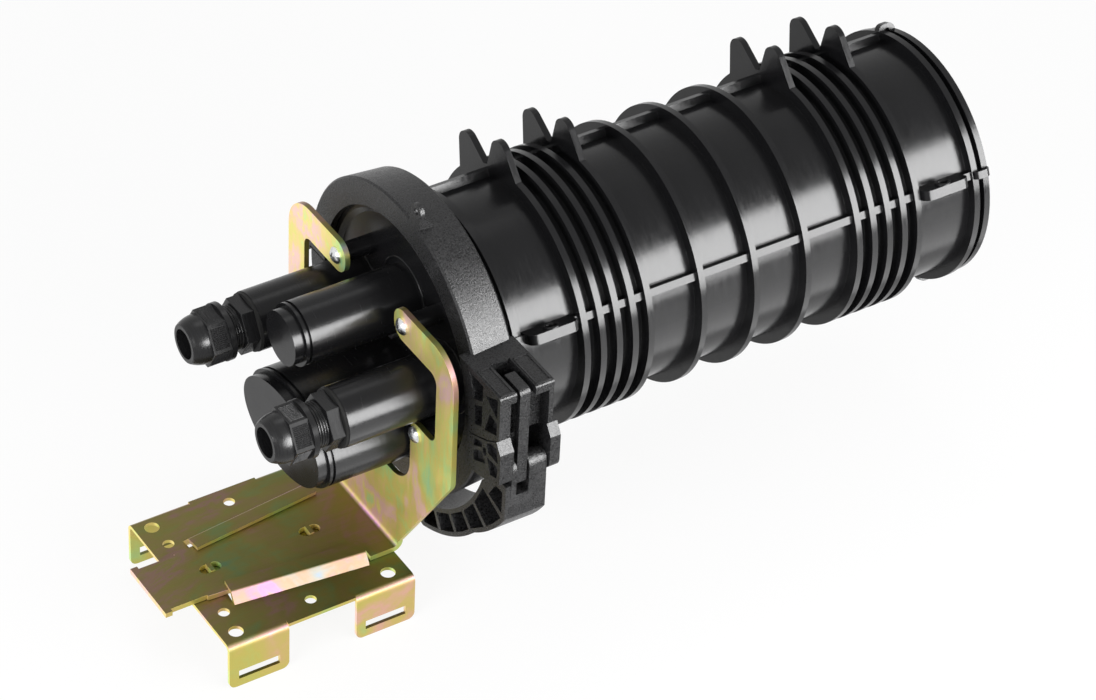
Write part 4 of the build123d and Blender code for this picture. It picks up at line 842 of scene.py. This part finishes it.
# %% Floor
def backdrop_rays(tree):
    """1 for the rays that show a backdrop: straight, mirrored or seen through a clear piece."""
    path = tree.nodes.new("ShaderNodeLightPath")
    rays = math_node(tree, "MAXIMUM", path.outputs["Is Camera Ray"], path.outputs["Is Glossy Ray"])
    return math_node(tree, "MAXIMUM", rays, path.outputs["Is Transmission Ray"])


FLOOR_GAP = 0.0003
FLOOR_GLOW = 0.88
floor_height = cad_box[0].z - FLOOR_GAP
clear_selection()
bpy.ops.mesh.primitive_plane_add(size=14, location=(0, 0, floor_height))
floor = bpy.context.active_object
floor.name = "pale floor"
floor_white, tree, shader = start_material(
    "floor white", Base_Color=(0.92, 0.92, 0.92, 1), Roughness=0.9, Specular_IOR_Level=0.0
)
glow = add_node(tree, "Emission", Color=(1, 1, 1, 1), Strength=1.0)
lift = tree.nodes.new("ShaderNodeMixShader")
tree.links.new(math_node(tree, "MULTIPLY", backdrop_rays(tree), FLOOR_GLOW), lift.inputs[0])
tree.links.new(shader.outputs[0], lift.inputs[1])
tree.links.new(glow.outputs[0], lift.inputs[2])
tree.links.new(lift.outputs[0], tree.nodes["Material Output"].inputs["Surface"])
paint(floor, floor_white)
print(floor.name, "at", round(floor_height, 4))

# %% [markdown]
# The world is a white room: full white where it is seen, and half as strong as a lamp.

# %% White world
world = bpy.data.worlds.new("white room")
bpy.context.scene.world = world
world.use_nodes = True
tree = world.node_tree
ROOM_STRENGTH = 0.5
backdrop = tree.nodes["Background"]
backdrop.inputs["Color"].default_value = (1, 1, 1, 1)
room = add_node(tree, "Background", Color=(1, 1, 1, 1), Strength=ROOM_STRENGTH)
either = tree.nodes.new("ShaderNodeMixShader")
tree.links.new(backdrop_rays(tree), either.inputs[0])
tree.links.new(room.outputs[0], either.inputs[1])
tree.links.new(backdrop.outputs[0], either.inputs[2])
tree.links.new(either.outputs[0], tree.nodes["World Output"].inputs["Surface"])
print("world ready:", world.name)

# %% [markdown]
# A lamp's job here is to draw the shape of black gloss. A long softbox low on the latch side gives the broken
# band of light along the dome, one overhead lifts the tops, and a weaker one at the front opens up the ports.
# The band on black gloss has to be far brighter than a pale matt face may get, so a strip that only gloss can
# see stands there too, and a card on the floor beside the dome lights its underside in the same way. The
# strip is linked to the dome, the head, the clamp and the added pieces alone, and the card to the first two:
# they would bleach the rest.


# %% Softboxes
def area_lamp(name, place, turn, width, height, watts):
    """A rectangular lamp; its name, place and watts are printed."""
    clear_selection()
    bpy.ops.object.light_add(type="AREA", location=place, rotation=turn)
    lamp = bpy.context.active_object
    lamp.name = name
    lamp.data.shape = "RECTANGLE"
    lamp.data.size = width
    lamp.data.size_y = height
    lamp.data.energy = watts
    print(name, [round(v, 2) for v in place], watts, "W")
    return lamp


def softbox(name, direction, distance, width, height, watts):
    """A rectangular lamp that looks at the middle of the closure."""
    aim = Vector((0.14, 0.0, AXIS_Z))
    place = aim + Vector(direction).normalized() * distance
    turn = (place - aim).to_track_quat("Z", "Y").to_euler()
    return area_lamp(name, place, turn, width, height, watts)


def gloss_only(lamp, pieces):
    """Shows a lamp in the gloss of some pieces and nowhere else."""
    lamp.visible_diffuse = False
    lamp.light_linking.receiver_collection = pieces


softbox("side softbox", (0.43, -0.84, 0.3), 1.1, 1.7, 0.5, 13)
softbox("top softbox", (0.1, 0.35, 1.0), 1.6, 0.9, 0.5, 3)
softbox("front softbox", (-0.85, -0.35, 0.35), 1.7, 0.9, 0.5, 18)
strip = softbox("gloss strip", (0.43, -0.86, 0.24), 1.1, 1.7, 0.74, 130)
gloss_only(strip, strip_lit)
card = area_lamp("floor card", (0.36, -0.36, floor_height + 0.002), (pi, 0, 0), 0.7, 0.5, 3.5)
gloss_only(card, card_lit)
card.visible_camera = False

# %% [markdown]
# The camera stands where the photographer stood: in front of the glands, on the latch side and above.
# A long lens keeps the perspective weak. Its place, its three directions and the lens come from a fit of
# points on the solids to the same points in the photo.

# %% Camera
camera_right = Vector((0.84641525, -0.53099283, 0.04034643))
camera_up = Vector((0.31176999, 0.55553865, 0.77082831))
camera_back = Vector((-0.4317183, -0.63986203, 0.63576402))
turn = Matrix((camera_right, camera_up, camera_back)).transposed()
clear_selection()
bpy.ops.object.camera_add(location=(-0.8096, -1.4499, 1.5098), rotation=turn.to_euler())
camera = bpy.context.active_object
camera.data.sensor_width = 36
camera.data.lens = 140.66
bpy.context.scene.camera = camera
bpy.context.scene.view_settings.view_transform = "Standard"
print("camera lens", camera.data.lens, "mm at", [round(v, 2) for v in camera.location])

# %% [markdown]
# Last, the selection is cleared.

# %% Finish
clear_selection()
